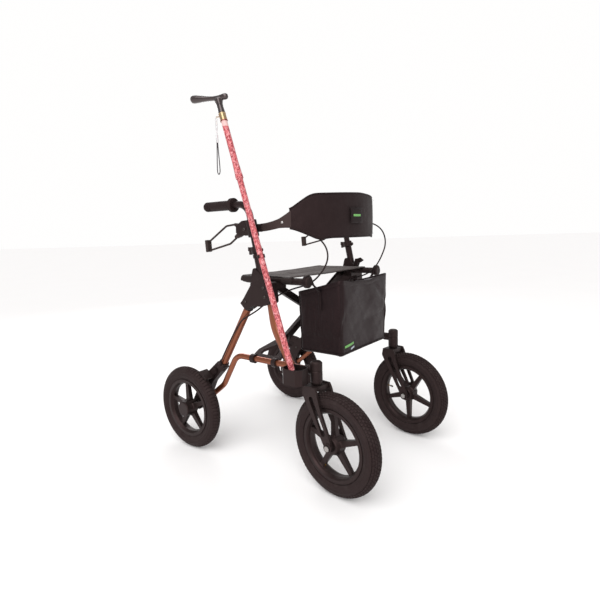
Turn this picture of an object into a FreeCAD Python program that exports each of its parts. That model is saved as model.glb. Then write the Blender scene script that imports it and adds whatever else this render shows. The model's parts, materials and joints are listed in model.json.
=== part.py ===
import FreeCAD, Part
import math
import os
import re
from FreeCAD import Placement, Rotation, Vector

# Rollator walker with four wheels, an X-folding frame, a sling seat, a bag, a backrest band and a
# walking cane in its holder. Millimetres. The walker drives towards -Y and +Z is up; the user stands
# behind it, so the user's right is -X. The origin lies on the floor under the middle of the box.

CELLS = {
    # side frames
    "frame_half_width": 252.0,
    "post_half_width": 266.0,
    "lower_tube_height": 361.0,
    "lower_tube_radius": 9.5,
    "front_tube_depth": 30.0,
    "front_tube_width": 20.0,
    "tube_wall": 2.0,
    "leg_radius": 12.5,
    "leg_collar_radius": 17.0,
    "housing_width": 42.0,
    "post_boss_width": 32.0,
    "latch_width": 8.0,
    "latch_lug_width": 3.0,
    "latch_pin_radius": 2.0,
    "bracket_width": 26.0,
    "socket_gap": 0.1,
    "running_gap": 0.05,
    # handle posts
    "sleeve_radius": 12.5,
    "height_collar_radius": 17.0,
    "post_radius": 10.7,
    "post_wall": 1.8,
    "grip_height": 855.0,
    "grip_radius": 15.5,
    "grip_flange_radius": 22.0,
    "clamp_lever_width": 9.0,
    "clamp_pin_radius": 2.5,
    "clamp_bolt_radius": 5.5,
    "brake_ear_width": 4.5,
    "brake_root_width": 12.0,
    "brake_rod_radius": 3.2,
    "brake_pad_width": 17.0,
    "cable_radius": 2.5,
    # front casters
    "steerer_half_width": 252.2,
    "steerer_y": -230.6,
    "caster_lead": 69.5,
    "caster_turn": -7.0,
    "stem_radius": 10.0,
    "fork_leg_width": 8.0,
    "fork_leg_offset": 32.0,
    "front_wheel_radius": 155.0,
    "front_tyre_width": 50.0,
    "front_axle_radius": 5.0,
    # rear wheels
    "rear_half_track": 296.6,
    "rear_axle_y": 306.0,
    "rear_wheel_radius": 149.0,
    "rear_tyre_width": 42.0,
    "rear_axle_radius": 6.0,
    "bearing_radius": 11.0,
    "spokes": 5,
    # seat, cross brace and bag
    "rail_half_width": 216.0,
    "rail_height": 616.0,
    "rail_radius": 11.0,
    "rail_cap_radius": 18.0,
    "bar_thickness": 14.0,
    "foot_thickness": 10.0,
    "foot_ring_radius": 15.0,
    "bolt_radius": 4.0,
    "seat_front": -127.0,
    "seat_rear": 85.0,
    "bag_width": 302.0,
    "bag_wall": 4.0,
    # backrest
    "band_half_width": 250.0,
    "band_depth": 205.0,
    "band_base_y": -31.0,
    "cover_thickness": 10.0,
    "arm_thickness": 5.0,
    # cane and its holder
    "cane_radius": 9.0,
    "cane_upper_radius": 9.4,
    "cane_bore_radius": 7.6,
    "cup_wall": 3.0,
    "cup_bottom": 328.0,
    "cup_top": 375.0,
    "strap_radius": 1.5,
}

SIDES = (("right", -1), ("left", 1))

# Points of the side frames, as (y, z).
LEG_TOP = (33.0, 531.0)
LEG_FOOT = (166.0, 320.0)
LOWER_TUBE = ((-211.0, 361.0), (98.0, 361.0), (167.0, 247.0), (262.0, 172.2))
LOWER_TUBE_BENDS = (50.0, 60.0)
FRONT_TUBE = ((-63.0, 563.0), (-75.0, 473.0), (-137.0, 361.0))
FRONT_TUBE_BENDS = (150.0,)
POST_BASE = Vector(0, -45.0, 621.0)
POST_DIRECTION = Vector(0, 0.2071, 0.9783)
LATCH_PIVOT = (-70.0, 649.0)
CLAMP_HEIGHT = 715.0

# The cane leans back along the post; its foot stands in the cup.
CANE_FOOT = Vector(-297.1, -184.0, 335.5)
CANE_DIRECTION = Vector(8, 266, 822).normalize()
CANE_HANDLE_TURN = 17.0
CANE_HANDLE_Z = 1180.0

doc = FreeCAD.newDocument("rollator")
nodes = []


# ---------------------------------------------------------------- sheet and helpers

def fill_sheet():
    """Write the driving dimensions into the sheet, one alias per row."""
    page = doc.addObject("Spreadsheet::Sheet", "Dimensions")
    for row, (alias, number) in enumerate(CELLS.items(), start=1):
        page.set("A%d" % row, alias)
        page.set("B%d" % row, str(number))
        page.setAlias("B%d" % row, alias)
    doc.recompute()
    return page


sheet = fill_sheet()


def dim(alias):
    """The number in a cell of the sheet."""
    return float(sheet.get(alias))


def bind(target, prop, expression):
    """Bind a property to an expression whose words are aliases of the sheet."""
    words = re.sub(r"[a-z][a-z_]+", lambda word: "Dimensions." + word.group(0), expression)
    target.setExpression(prop, words)


def node(item, label):
    """Register a finished sub-part under its node name."""
    item.Label = label
    nodes.append(item)
    return item


def outline(points):
    """Closed loop of lines through (u, v) points, with arcs at points (u, v, radius)."""
    places = [Vector(p[0], p[1], 0) for p in points]
    radii = [p[2] if len(p) > 2 else 0.0 for p in points]
    ends = []
    arcs = []
    for i, corner in enumerate(places):
        into = (corner - places[i - 1]).normalize()
        out = (places[(i + 1) % len(places)] - corner).normalize()
        turn = into.getAngle(out)
        reach = radii[i] * math.tan(turn / 2)
        first, last = corner - into * reach, corner + out * reach
        if radii[i] > 0:
            inward = (out - into).normalize()
            depth = radii[i] / math.cos(turn / 2) - radii[i]
            arcs.append(Part.Arc(first, corner + inward * depth, last))
        ends.append((first, last))
    lines = []
    for i, (first, last) in enumerate(ends):
        follower = ends[(i + 1) % len(ends)][0]
        if last.distanceToPoint(follower) > 1e-6:
            lines.append(Part.LineSegment(last, follower))
    return lines + arcs


def hole(u, v, radius):
    """A round loop."""
    return [Part.Circle(Vector(u, v, 0), Vector(0, 0, 1), radius)]


def slot(first, last, radius):
    """A long hole with round ends between two (u, v) centres."""
    a, b = Vector(first[0], first[1], 0), Vector(last[0], last[1], 0)
    along = (b - a).normalize()
    across = Vector(-along.y, along.x, 0) * radius
    return [Part.LineSegment(a + across, b + across),
            Part.Arc(b + across, b + along * radius, b - across),
            Part.LineSegment(b - across, a - across),
            Part.Arc(a - across, a - along * radius, a + across)]


def sketch_on(body, role, loops):
    """A sketch on one of the body's own origin planes."""
    plane = [f for f in body.Origin.OriginFeatures if f.Role == role][0]
    drawing = body.newObject("Sketcher::SketchObject", body.Name + "_sketch")
    drawing.AttachmentSupport = [(plane, "")]
    drawing.MapMode = "FlatFace"
    for loop in loops:
        for geometry in loop:
            drawing.addGeometry(geometry)
    return drawing


def pad(name, role, loops, width, place=Vector(0, 0, 0)):
    """A body padded evenly to both sides of a plane; width is an expression of the sheet."""
    body = doc.addObject("PartDesign::Body", name)
    feature = body.newObject("PartDesign::Pad", name + "_pad")
    feature.Profile = sketch_on(body, role, loops)
    feature.SideType = "Symmetric"
    bind(feature, "Length", width)
    body.Tip = feature
    body.Placement = Placement(place, Rotation())
    return body


def revolve(name, axis, points, placement=Placement()):
    """A body turned about its own X axis from (x, r) points, or Y or Z axis from (r, height)."""
    body = doc.addObject("PartDesign::Body", name)
    feature = body.newObject("PartDesign::Revolution", name + "_turn")
    profile = sketch_on(body, "XZ_Plane" if axis == "Z" else "XY_Plane", [outline(points)])
    feature.Profile = profile
    feature.ReferenceAxis = (profile, ["H_Axis" if axis == "X" else "V_Axis"])
    feature.Angle = 360
    body.Tip = feature
    body.Placement = placement
    return body


def rod(name, start, end, radius):
    """A round rod between two points; radius is an expression of the sheet."""
    item = doc.addObject("Part::Cylinder", name)
    bind(item, "Radius", radius)
    item.Height = (end - start).Length
    item.Placement = Placement(start, Rotation(Vector(0, 0, 1), end - start))
    return item


def block(name, low, high):
    """A box between two opposite corners."""
    item = doc.addObject("Part::Box", name)
    item.Length, item.Width, item.Height = [abs(high[i] - low[i]) for i in range(3)]
    item.Placement.Base = Vector(*[min(low[i], high[i]) for i in range(3)])
    return item


def fuse(name, items):
    """One solid out of several that run into each other."""
    joined = doc.addObject("Part::MultiFuse", name)
    joined.Shapes = items
    joined.Refine = True
    return joined


def cut(name, base, tools):
    """The base less its tools."""
    result = doc.addObject("Part::Cut", name)
    result.Base = base
    result.Tool = tools[0] if len(tools) == 1 else fuse(name + "_tools", tools)
    return result


def group(name, items):
    """Separate solids kept in one node."""
    together = doc.addObject("Part::Compound", name)
    together.Links = items
    return together


def raw(name, shape):
    """A sub-part whose shape comes from swept or lofted surfaces."""
    item = doc.addObject("Part::Feature", name)
    item.Shape = shape
    return item


def path(points, radii):
    """Straight runs joined by tangent arcs."""
    edges = []
    start = points[0]
    for i, radius in enumerate(radii):
        before, corner, after = points[i:i + 3]
        into, out = (corner - before).normalize(), (after - corner).normalize()
        turn = into.getAngle(out)
        reach = radius * math.tan(turn / 2)
        entry, leave = corner - into * reach, corner + out * reach
        inward = (out - into).normalize()
        middle = corner + inward * (radius / math.cos(turn / 2) - radius)
        edges.append(Part.LineSegment(start, entry).toShape())
        edges.append(Part.Arc(entry, middle, leave).toShape())
        start = leave
    edges.append(Part.LineSegment(start, points[-1]).toShape())
    return Part.Wire(edges)


def sweep(wire, section):
    """A solid with the section carried along the wire."""
    return wire.makePipeShell([Part.Wire(section)], True, False)


def bar(wire, radius):
    """A round solid along a wire."""
    first = wire.Edges[0]
    direction = first.tangentAt(first.FirstParameter)
    start = first.valueAt(first.FirstParameter)
    return sweep(wire, Part.Circle(start, direction, radius).toShape())


def oval_bar(wire, depth, width):
    """A solid of oval section, its depth in the plane of the side frame."""
    first = wire.Edges[0]
    direction = first.tangentAt(first.FirstParameter)
    start = first.valueAt(first.FirstParameter)
    across = direction.cross(Vector(1, 0, 0)).normalize()
    oval = Part.Ellipse(start + across * depth, start + Vector(width, 0, 0), start)
    return sweep(wire, oval.toShape())


def in_plane(x, points):
    """Points (y, z) put at one x."""
    return [Vector(x, p[0], p[1]) for p in points]


def toward(start, end):
    """Unit direction in the side plane between two (y, z) points."""
    return Vector(0, end[0] - start[0], end[1] - start[1]).normalize()


def cord(name, points, radius):
    """A cord's tube: runs joined by arcs as large as they allow. Prints radii and volumes."""
    radii = []
    for before, corner, after in zip(points, points[1:], points[2:]):
        turn = (corner - before).getAngle(after - corner)
        shorter = min((corner - before).Length, (after - corner).Length)
        radii.append(0.45 * shorter / math.tan(turn / 2))
    wire = path(points, radii)
    shape = bar(wire, radius)
    share = shape.Volume / (math.pi * radius ** 2 * wire.Length)
    print("%s: length %.0f, smallest radius %.1f, volume/expected %.4f, radii %s"
          % (name, wire.Length, min(radii), share, [round(r) for r in radii]))
    return raw(name, shape)


# ---------------------------------------------------------------- side frames

def leg_axis(side, along):
    """A point on the rear leg's axis, measured down from its top."""
    top = Vector(side * dim("frame_half_width"), *LEG_TOP)
    return top + toward(LEG_TOP, LEG_FOOT) * along


def post_axis(side, height):
    """The point of the handle post's axis at a height above the floor."""
    along = (height - POST_BASE.z) / POST_DIRECTION.z
    return Vector(side * dim("post_half_width"), 0, 0) + POST_BASE + POST_DIRECTION * along


LEG_LENGTH = math.hypot(LEG_FOOT[0] - LEG_TOP[0], LEG_FOOT[1] - LEG_TOP[1])
LEG_IN_SOCKET = 12.0


def front_tube_solid(side, extra, top_extra):
    """The oval front tube, grown by extra all round and longer by top_extra."""
    points = in_plane(side * dim("frame_half_width"), FRONT_TUBE)
    points[0] = points[0] + (points[0] - points[1]).normalize() * top_extra
    depth = dim("front_tube_depth") / 2 + extra
    width = dim("front_tube_width") / 2 + extra
    return oval_bar(path(points, FRONT_TUBE_BENDS), depth, width)


def frame_tube(name, side):
    """Lower tube with the oval front tube welded on it, both hollow."""
    lower = path(in_plane(side * dim("frame_half_width"), LOWER_TUBE), LOWER_TUBE_BENDS)
    wall = dim("tube_wall")
    outside = bar(lower, dim("lower_tube_radius")).fuse(front_tube_solid(side, 0, 0))
    inside = bar(lower, dim("lower_tube_radius") - wall)
    hollow = outside.cut(inside).cut(front_tube_solid(side, -wall, 0))
    solids = sorted(hollow.removeSplitter().Solids, key=lambda solid: solid.Volume)
    return raw(name, solids[-1])


def rear_leg(name, side):
    """Straight round tube between the upper housing and the rear bracket."""
    start = leg_axis(side, -LEG_IN_SOCKET)
    end = leg_axis(side, LEG_LENGTH + LEG_IN_SOCKET)
    outer = rod(name + "_outer", start, end, "leg_radius")
    inner = rod(name + "_inner", start, end, "leg_radius - tube_wall")
    return cut(name, outer, [inner])


def upper_housing(name, side):
    """Casting that joins the front tube, the rear leg and the post, with the rail's saddle."""
    plate = pad(name + "_plate", "YZ_Plane", [outline([
        (-84, 552, 8), (-80, 616, 6), (-12, 614, 8), (28, 561, 16), (42, 546), (19, 524),
        (-8, 541, 30), (-46, 541, 8)])], "housing_width", Vector(side * 259.5, 0, 0))
    boss = pad(name + "_boss", "YZ_Plane", [outline([
        (-68, 606), (-62, 633, 4), (-26, 661, 5), (-19, 655, 3), (-6, 606)])],
        "post_boss_width", Vector(side * dim("post_half_width"), 0, 0))
    collar = rod(name + "_collar", leg_axis(side, -22), leg_axis(side, 5), "leg_collar_radius")
    saddle = block(name + "_saddle", (side * 198, -82, 594), (side * 246, -50, 612))
    parts = [plate, boss, collar, saddle]
    if side > 0:
        parts += latch_lugs(name)
    body = fuse(name + "_body", parts)
    leg = rod(name + "_leg_socket", leg_axis(side, -LEG_IN_SOCKET - 0.2), leg_axis(side, 8),
              "leg_radius + socket_gap")
    sleeve = rod(name + "_post_socket", post_axis(side, 568), post_axis(side, 700),
                 "sleeve_radius + socket_gap")
    tube = raw(name + "_tube_socket", front_tube_solid(side, dim("socket_gap"), 0.2))
    x = side * dim("rail_half_width")
    rail = rod(name + "_rail_seat", Vector(x, -95, dim("rail_height")),
               Vector(x, -40, dim("rail_height")), "rail_radius + 0.3")
    return cut(name, body, [leg, sleeve, tube, rail])


def latch_lugs(name):
    """Two lugs and a pin in front of the left post for the fold latch."""
    x = dim("post_half_width")
    loops = [outline([(-66, 616), (-79, 645, 4), (-76, 657, 3), (-63, 657, 3), (-56, 624)])]
    lugs = [pad(name + "_latch_lug%d" % i, "YZ_Plane", loops, "latch_lug_width",
                Vector(x + i * 6.3, 0, 0)) for i in (-1, 1)]
    pin = rod(name + "_latch_pin", Vector(x - 7, *LATCH_PIVOT), Vector(x + 7, *LATCH_PIVOT),
              "latch_pin_radius")
    return lugs + [pin]


def steerer_housing(name, side):
    """Head tube: a bored post for the caster's stem, with a socket for the lower tube."""
    bore = dim("stem_radius") + dim("running_gap")
    centre = Vector(side * dim("steerer_half_width"), dim("steerer_y"), 0)
    head = revolve(name + "_head", "Z", [
        (0, 387.5), (0, 391), (13, 391, 2), (18, 386, 2), (18, 364), (16.8, 362), (18, 360),
        (18, 328, 2), (16, 322), (bore, 322), (bore, 387.5)], Placement(centre, Rotation()))
    x = side * dim("frame_half_width")
    collar = rod(name + "_collar", Vector(x, -222, 361), Vector(x, -194, 361),
                 "lower_tube_radius + 4.5")
    stem = rod(name + "_stem_bore", centre + Vector(0, 0, 300), centre + Vector(0, 0, 387.5),
               "stem_radius + running_gap")
    socket = rod(name + "_tube_socket", Vector(x, LOWER_TUBE[0][0] - 0.2, 361),
                 Vector(x, -190, 361), "lower_tube_radius + socket_gap")
    return cut(name, fuse(name + "_body", [head, collar]), [stem, socket])


def rear_bracket(name, side):
    """Forked arm from the rear leg and the lower tube down to the rear axle."""
    x = side * dim("frame_half_width")
    arm = pad(name + "_arm", "YZ_Plane", [outline([
        (151, 311), (181, 330), (236, 284, 20), (280, 240, 30), (325, 165, 12), (326, 138, 14),
        (296, 129, 12), (262, 158, 8), (228, 184), (239, 205, 14), (214, 250, 30)])],
        "bracket_width", Vector(x, 0, 0))
    leg_collar = rod(name + "_leg_collar", leg_axis(side, LEG_LENGTH - 8),
                     leg_axis(side, LEG_LENGTH + 18), "leg_collar_radius")
    end, before = in_plane(x, (LOWER_TUBE[-1], LOWER_TUBE[-2]))
    back = (before - end).normalize()
    tube_collar = rod(name + "_tube_collar", end + back * 30, end - back * 5,
                      "lower_tube_radius + 4")
    axle_y, axle_z = dim("rear_axle_y"), dim("rear_wheel_radius")
    boss = rod(name + "_boss", Vector(x, axle_y, axle_z),
               Vector(side * 272.5, axle_y, axle_z), "leg_collar_radius + 2")
    stop = rod(name + "_cable_stop", cable_on_leg(side, 232), cable_on_leg(side, 250),
               "cable_radius + 2.5")
    pivot = rod(name + "_shoe_pin", Vector(side * 262, *SHOE_PIVOT),
                Vector(side * 273.3, *SHOE_PIVOT), "bolt_radius")
    body = fuse(name + "_body", [arm, leg_collar, tube_collar, boss, stop, pivot])
    leg = rod(name + "_leg_socket", leg_axis(side, LEG_LENGTH - 12),
              leg_axis(side, LEG_LENGTH + LEG_IN_SOCKET + 0.2), "leg_radius + socket_gap")
    tube = rod(name + "_tube_socket", end + back * 40, end - back * 0.2,
               "lower_tube_radius + socket_gap")
    axle = rod(name + "_axle_bore", Vector(side * 230, axle_y, axle_z),
               Vector(side * 280, axle_y, axle_z), "rear_axle_radius + socket_gap")
    return cut(name, body, [leg, tube, axle])


# ---------------------------------------------------------------- handle posts

def on_post(side, height=POST_BASE.z):
    """Placement whose Z runs up the handle post from the axis point at a height."""
    return Placement(post_axis(side, height), Rotation(Vector(0, 0, 1), POST_DIRECTION))


def post_sleeve(name, side):
    """Fixed outer tube of the post with its clamp collar and the lever's two lugs."""
    bore = dim("post_radius") + dim("running_gap")
    outer, wide = dim("sleeve_radius"), dim("height_collar_radius")
    top = 106.0
    tube = revolve(name + "_tube", "Z", [
        (bore, -54), (outer, -54), (outer, top - 22), (wide, top - 20, 1.5), (wide, top, 2),
        (bore, top)], on_post(side))
    pin_at = clamp_pin(side)
    lugs = [block(name + "_lug%d" % i, pin_at + Vector(i * 4.8, -13, -6),
                  pin_at + Vector(i * 8.3, 4.5, 6)) for i in (-1, 1)]
    half_pin = Vector(7.5, 0, 0)
    pin = rod(name + "_pin", pin_at - half_pin, pin_at + half_pin, "clamp_pin_radius")
    middle = post_axis(side, CLAMP_HEIGHT)
    bolt = rod(name + "_bolt", middle - Vector(0, 23, 0), middle - Vector(0, 15, 0),
               "clamp_bolt_radius")
    bore_rod = rod(name + "_bore", post_axis(side, 550), post_axis(side, 740),
                   "post_radius + running_gap")
    return cut(name, fuse(name + "_body", [tube, pin, bolt] + lugs), [bore_rod])


def clamp_pin(side):
    """The middle of the clamp lever's pin, behind the collar."""
    return post_axis(side, CLAMP_HEIGHT) + Vector(0, 23.8, 2)


def clamp_lever(name, side):
    """Cam lever behind the collar that frees the handle's height."""
    x, y, z = clamp_pin(side)
    return pad(name, "YZ_Plane", [outline([
        (y - 4.8, z + 4.8, 4.5), (y + 4.8, z + 4.8, 4.5), (y + 4, z - 17, 2.5), (y - 2, z - 18, 2.5),
        (y - 4.8, z - 6, 6)]), hole(y, z, dim("clamp_pin_radius") + dim("running_gap"))],
        "clamp_lever_width", Vector(x, 0, 0))


def handle_tube(name, side):
    """Telescopic post that bends back into the bar of the grip."""
    x = side * dim("post_half_width")
    level = dim("grip_height")
    points = [post_axis(side, 572), post_axis(side, level), Vector(x, 188, level)]
    route = path(points, (45.0,))
    radius = dim("post_radius")
    return raw(name, bar(route, radius).cut(bar(route, radius - dim("post_wall"))))


def grip(name, side):
    """Rubber grip with a round flange in front and ribs at its end."""
    bore, outer = dim("post_radius") + dim("running_gap"), dim("grip_radius")
    flange = dim("grip_flange_radius")
    ribs = []
    for start in (160.0, 168.0, 176.0):
        ribs += [(outer, start), (outer - 1.5, start + 2), (outer - 1.5, start + 4), (outer, start + 5)]
    profile = [(bore, 61), (flange, 61, 2), (flange, 75, 3), (outer - 1, 79, 2), (outer, 84)] + ribs
    profile += [(outer, 188, 2), (outer - 3, 194, 2), (0, 194), (0, 189), (bore, 189)]
    place = Vector(side * dim("post_half_width"), 0, dim("grip_height"))
    return revolve(name, "Y", profile, Placement(place, Rotation()))


BRAKE_PIVOT = (15.0, 778.0)
BRAKE_GAP = 0.5


def brake_mount(name, side):
    """Clamp on the post with two cheeks for the brake lever and a lug for the backrest arm."""
    x = side * dim("post_half_width")
    ring = rod(name + "_ring", post_axis(side, 756), post_axis(side, 804), "leg_collar_radius")
    cheek_loops = [outline([
        (-14, 762, 4), (-5, 806, 6), (24, 804, 12), (49, 789, 4), (50, 768, 4), (26, 758, 10)])]
    offset = dim("brake_root_width") / 2 + BRAKE_GAP + dim("brake_ear_width") / 2
    cheeks = [pad(name + "_cheek%d" % i, "YZ_Plane", cheek_loops, "brake_ear_width",
                  Vector(x + i * offset, 0, 0)) for i in (-1, 1)]
    pin = rod(name + "_pin", Vector(x - 9, *BRAKE_PIVOT), Vector(x + 9, *BRAKE_PIVOT),
              "cable_radius + 0.5")
    lug = block(name + "_lug", (side * 248, -36, 769), (side * 262, -12, 793))
    start, follower = cable_points(side)[:2]
    gland = rod(name + "_gland", start, start + (start - follower).normalize() * 12,
                "cable_radius + 1.5")
    body = fuse(name + "_body", [ring, pin, lug, gland] + cheeks)
    post = rod(name + "_bore", post_axis(side, 740), post_axis(side, 820), "post_radius + socket_gap")
    return cut(name, body, [post])


def brake_lever(name, side):
    """Looped lever: a flat root between the cheeks, two rods and a pad at the rear."""
    x = side * dim("post_half_width")
    y, z = BRAKE_PIVOT
    root = pad(name + "_root", "YZ_Plane", [outline([
        (y - 6, z - 6, 5.5), (y - 6, z + 6, 5.5), (42, 796, 20), (60, 799, 3), (62, 791, 3),
        (50, 784, 6), (50, 767, 6), (62, 758, 3), (60, 750, 3), (40, 755, 20)])],
        "brake_root_width", Vector(x, 0, 0))
    radius = dim("brake_rod_radius")
    upper = raw(name + "_upper", bar(path(in_plane(x, ((56, 795), (102, 791), (192, 739.6))), (30,)), radius))
    lower = raw(name + "_lower", bar(path(in_plane(x, ((56, 754), (88, 734), (192, 711.7))), (30,)), radius))
    plate = pad(name + "_pad", "YZ_Plane", [outline([
        (186, 709, 2), (188, 748, 2), (201, 747, 3), (198, 707, 3)])],
        "brake_pad_width", Vector(x, 0, 0))
    bore = rod(name + "_bore", Vector(x - 20, y, z), Vector(x + 20, y, z),
               "cable_radius + 0.5 + running_gap")
    return cut(name, fuse(name + "_body", [root, upper, lower, plate]), [bore])


# ---------------------------------------------------------------- brakes and cables

SHOE_PIVOT = (192.0, 297.0)


def polar(radius, degrees):
    """A point round the rear axle, as (y, z)."""
    angle = math.radians(degrees)
    return (dim("rear_axle_y") + radius * math.cos(angle),
            dim("rear_wheel_radius") + radius * math.sin(angle))


def brake_shoe(name, side):
    """Curved shoe over the rear tyre on a short arm that turns on the bracket's pin."""
    inner, outer = dim("rear_wheel_radius") + 3.5, dim("rear_wheel_radius") + 11
    first, last = 115.0, 130.0
    arcs = [Part.Arc(*[Vector(*polar(r, a), 0) for a in angles]) for r, angles in (
        (inner, (first, (first + last) / 2, last)), (outer, (last, (first + last) / 2, first)))]
    sides = [Part.LineSegment(Vector(*polar(a[0], a[1]), 0), Vector(*polar(b[0], b[1]), 0))
             for a, b in (((inner, last), (outer, last)), ((outer, first), (inner, first)))]
    shoe = pad(name + "_pad", "YZ_Plane", [arcs + sides], "rear_tyre_width - 6",
               Vector(side * 284.8, 0, 0))
    y, z = SHOE_PIVOT
    arm = pad(name + "_arm", "YZ_Plane", [outline([
        (y - 8, z - 6, 7), (y - 6, z + 8, 7), (y + 10, z + 7, 6), polar(outer - 1, 119),
        polar(inner + 1, 128)])], "brake_ear_width", Vector(side * 269, 0, 0))
    bore = rod(name + "_bore", Vector(side * 260, y, z), Vector(side * 280, y, z),
               "bolt_radius + running_gap")
    return cut(name, fuse(name + "_body", [shoe, arm]), [bore])


def cable_on_leg(side, along):
    """A point where the brake cable lies on the outer face of the rear leg."""
    outward = side * (dim("leg_collar_radius") + dim("cable_radius") + 1.2)
    return leg_axis(side, along) + Vector(outward, 0, 0)


def cable_points(side):
    """Route of a brake cable from the lever's mount to its stop on the rear bracket."""
    if side < 0:
        loop = [(-243, -37, 781), (-234, -60, 784), (-218, -94, 788), (-192, -128, 782),
                (-164, -154, 766), (-148, -178, 744), (-148, -200, 722), (-156, -214, 700),
                (-167, -220, 678), (-179, -216, 656), (-187, -204, 636), (-188, -182, 617)]
    else:
        loop = [(264, -39, 782), (268, -62, 788), (267, -104, 796), (255, -150, 790),
                (232, -194, 768), (212, -218, 738), (199, -225, 708), (190, -217, 677),
                (186, -203, 648), (186, -182, 622)]
    under = [(-185, -150, 602), (-189, -104, 590), (-196, -62, 574), (-207, -26, 552),
             (-224, -2, 532), (-243, 6, 519), (-263, 22, 505)]
    points = [Vector(*p) for p in loop]
    points += [Vector(-side * x, y, z) for x, y, z in under]
    points += [cable_on_leg(side, u) for u in (62, 232)]
    return points


# ---------------------------------------------------------------- casters and wheels

# How far each wheel's first spoke stands past its own Y axis, in degrees.
FRONT_SPOKES = {-1: 15.0, 1: 52.0}
REAR_SPOKES = {-1: 22.0, 1: 40.0}


def on_caster(side):
    """Placement of a caster's own frame, whose Z is the steerer axis."""
    place = Vector(side * dim("steerer_half_width"), dim("steerer_y"), 0)
    return Placement(place, Rotation(Vector(0, 0, 1), dim("caster_turn")))


def caster_fork(name, side):
    """Stem, crown and two slotted legs."""
    lead, axle_z = dim("caster_lead"), dim("front_wheel_radius")
    stem = rod(name + "_stem", Vector(0, 0, 310), Vector(0, 0, 385), "stem_radius")
    crown = block(name + "_crown", (-33, -21, 307), (33, 25, 320))
    loops = [outline([
        (-30, 306, 10), (-22, 322, 6), (22, 322, 10), (27, 296, 14), (-lead + 15, axle_z + 2, 20),
        (-lead + 8, axle_z - 15, 10), (-lead - 10, axle_z - 14, 10), (-lead - 14, axle_z + 6, 14),
        (-46, 250, 60)]),
        slot((-lead + 17, 192), (-8, 286), 7.5),
        hole(-lead, axle_z, dim("front_axle_radius") + dim("socket_gap"))]
    legs = [pad(name + "_leg%d" % i, "YZ_Plane", loops, "fork_leg_width",
                Vector(i * dim("fork_leg_offset"), 0, 0)) for i in (-1, 1)]
    whole = fuse(name, [stem, crown] + legs)
    whole.Placement = on_caster(side)
    return whole


def tyre_profile(radius, half, bead, seat):
    """Hollow tyre section for x >= 0: outside from tread to bead, inside from bead to tread."""
    outer = [(half * 0.55, radius, 8), (half, radius - 15, 10), (half, radius - 32, 10),
             (seat, bead + 7.5), (seat, bead)]
    inner = [(seat - 4, bead), (seat - 4, bead + 7), (half - 4, radius - 31, 7),
             (half - 4, radius - 16, 7), (half * 0.5, radius - 4.5, 4)]
    return outer, inner


def tyre(name, radius, width, bead, seat, placement):
    """Pneumatic tyre, open to the rim."""
    outer, inner = tyre_profile(radius, width / 2, bead, seat)
    flip = [[(-p[0],) + tuple(p[1:]) for p in reversed(part)] for part in (outer, inner)]
    return revolve(name, "X", flip[0] + outer + inner + flip[1], placement)


def rim(name, hub, half_seat, opening, seat_radius, phase, placement):
    """Cast rim: a turned disc with five windows that leave the spokes, the first at a phase."""
    lip = seat_radius + 6.5
    flange = half_seat + 2.6
    inner = [(half_seat, seat_radius), (half_seat, lip), (flange, lip, 1), (flange, opening + 4),
             (flange - 6, opening, 2), (6.5, opening - 3, 6), (8, 30, 6)]
    flip = [(-p[0],) + tuple(p[1:]) for p in inner]
    disc = revolve(name, "X", inner + hub + flip[::-1], placement)
    windows = sketch_on(disc, "YZ_Plane", [window_loop(opening - 2.5, math.radians(phase))])
    pocket = disc.newObject("PartDesign::Pocket", name + "_window")
    pocket.Profile = windows
    pocket.SideType = "Symmetric"
    pocket.Type = "ThroughAll"
    disc.Tip = pocket
    doc.recompute()
    pattern = disc.newObject("PartDesign::PolarPattern", name + "_windows")
    pattern.Originals = [pocket]
    axis = [f for f in disc.Origin.OriginFeatures if f.Role == "X_Axis"][0]
    pattern.Axis = (axis, [""])
    pattern.Angle = 360
    bind(pattern, "Occurrences", "spokes")
    disc.Tip = pattern
    return disc


def window_loop(outer, phase):
    """Rounded opening between two spokes, on the wheel's own side plane."""
    sector = 2 * math.pi / dim("spokes")
    root, half_root, half_tip = 27.0, 9.5, 6.5
    low, high = math.asin(half_tip / outer), math.asin(half_root / root)

    def spot(radius, angle):
        return Vector(radius * math.cos(angle + phase), radius * math.sin(angle + phase), 0)

    a, b = spot(outer, low), spot(outer, sector - low)
    c, d = spot(root, sector - high), spot(root, high)
    return [Part.Arc(a, spot(outer, sector / 2), b), Part.LineSegment(b, c),
            Part.Arc(c, spot(root, sector / 2), d), Part.LineSegment(d, a)]


def bearing(name, x, bore, placement):
    """One ball bearing as a ring round the X axis."""
    outer = dim("bearing_radius")
    shift = placement.multiply(Placement(Vector(x, 0, 0), Rotation()))
    return revolve(name, "X", [(-3.5, bore), (-3.5, outer), (3.5, outer), (3.5, bore)], shift)


def front_axle(name, placement):
    """Axle bolt through the fork, its nut, two spacers and the two hub bearings."""
    radius = dim("front_axle_radius")
    bolt = revolve(name + "_bolt", "X", [
        (-42, 0), (-42, 8), (-36, 9), (-36, radius), (36, radius), (36, 9), (42, 8), (42, 0)], placement)
    bearings = [bearing(name + "_bearing%d" % i, i * 19.0, radius + 0.02, placement) for i in (-1, 1)]
    return group(name, [bolt] + bearings)


def rear_axle(name, placement):
    """Stub axle with its nut and the two hub bearings; local +X points outwards."""
    radius = dim("rear_axle_radius")
    stub = revolve(name + "_stub", "X", [
        (-60, 0), (-60, 9), (-58.2, 9), (-58.2, radius), (20, radius), (20, 9), (25, 8), (25, 0)],
        placement)
    bearings = [bearing(name + "_bearing%d" % i, x, radius + 0.02, placement)
                for i, x in enumerate((-14.5, 15.0))]
    return group(name, [stub] + bearings)


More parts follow.
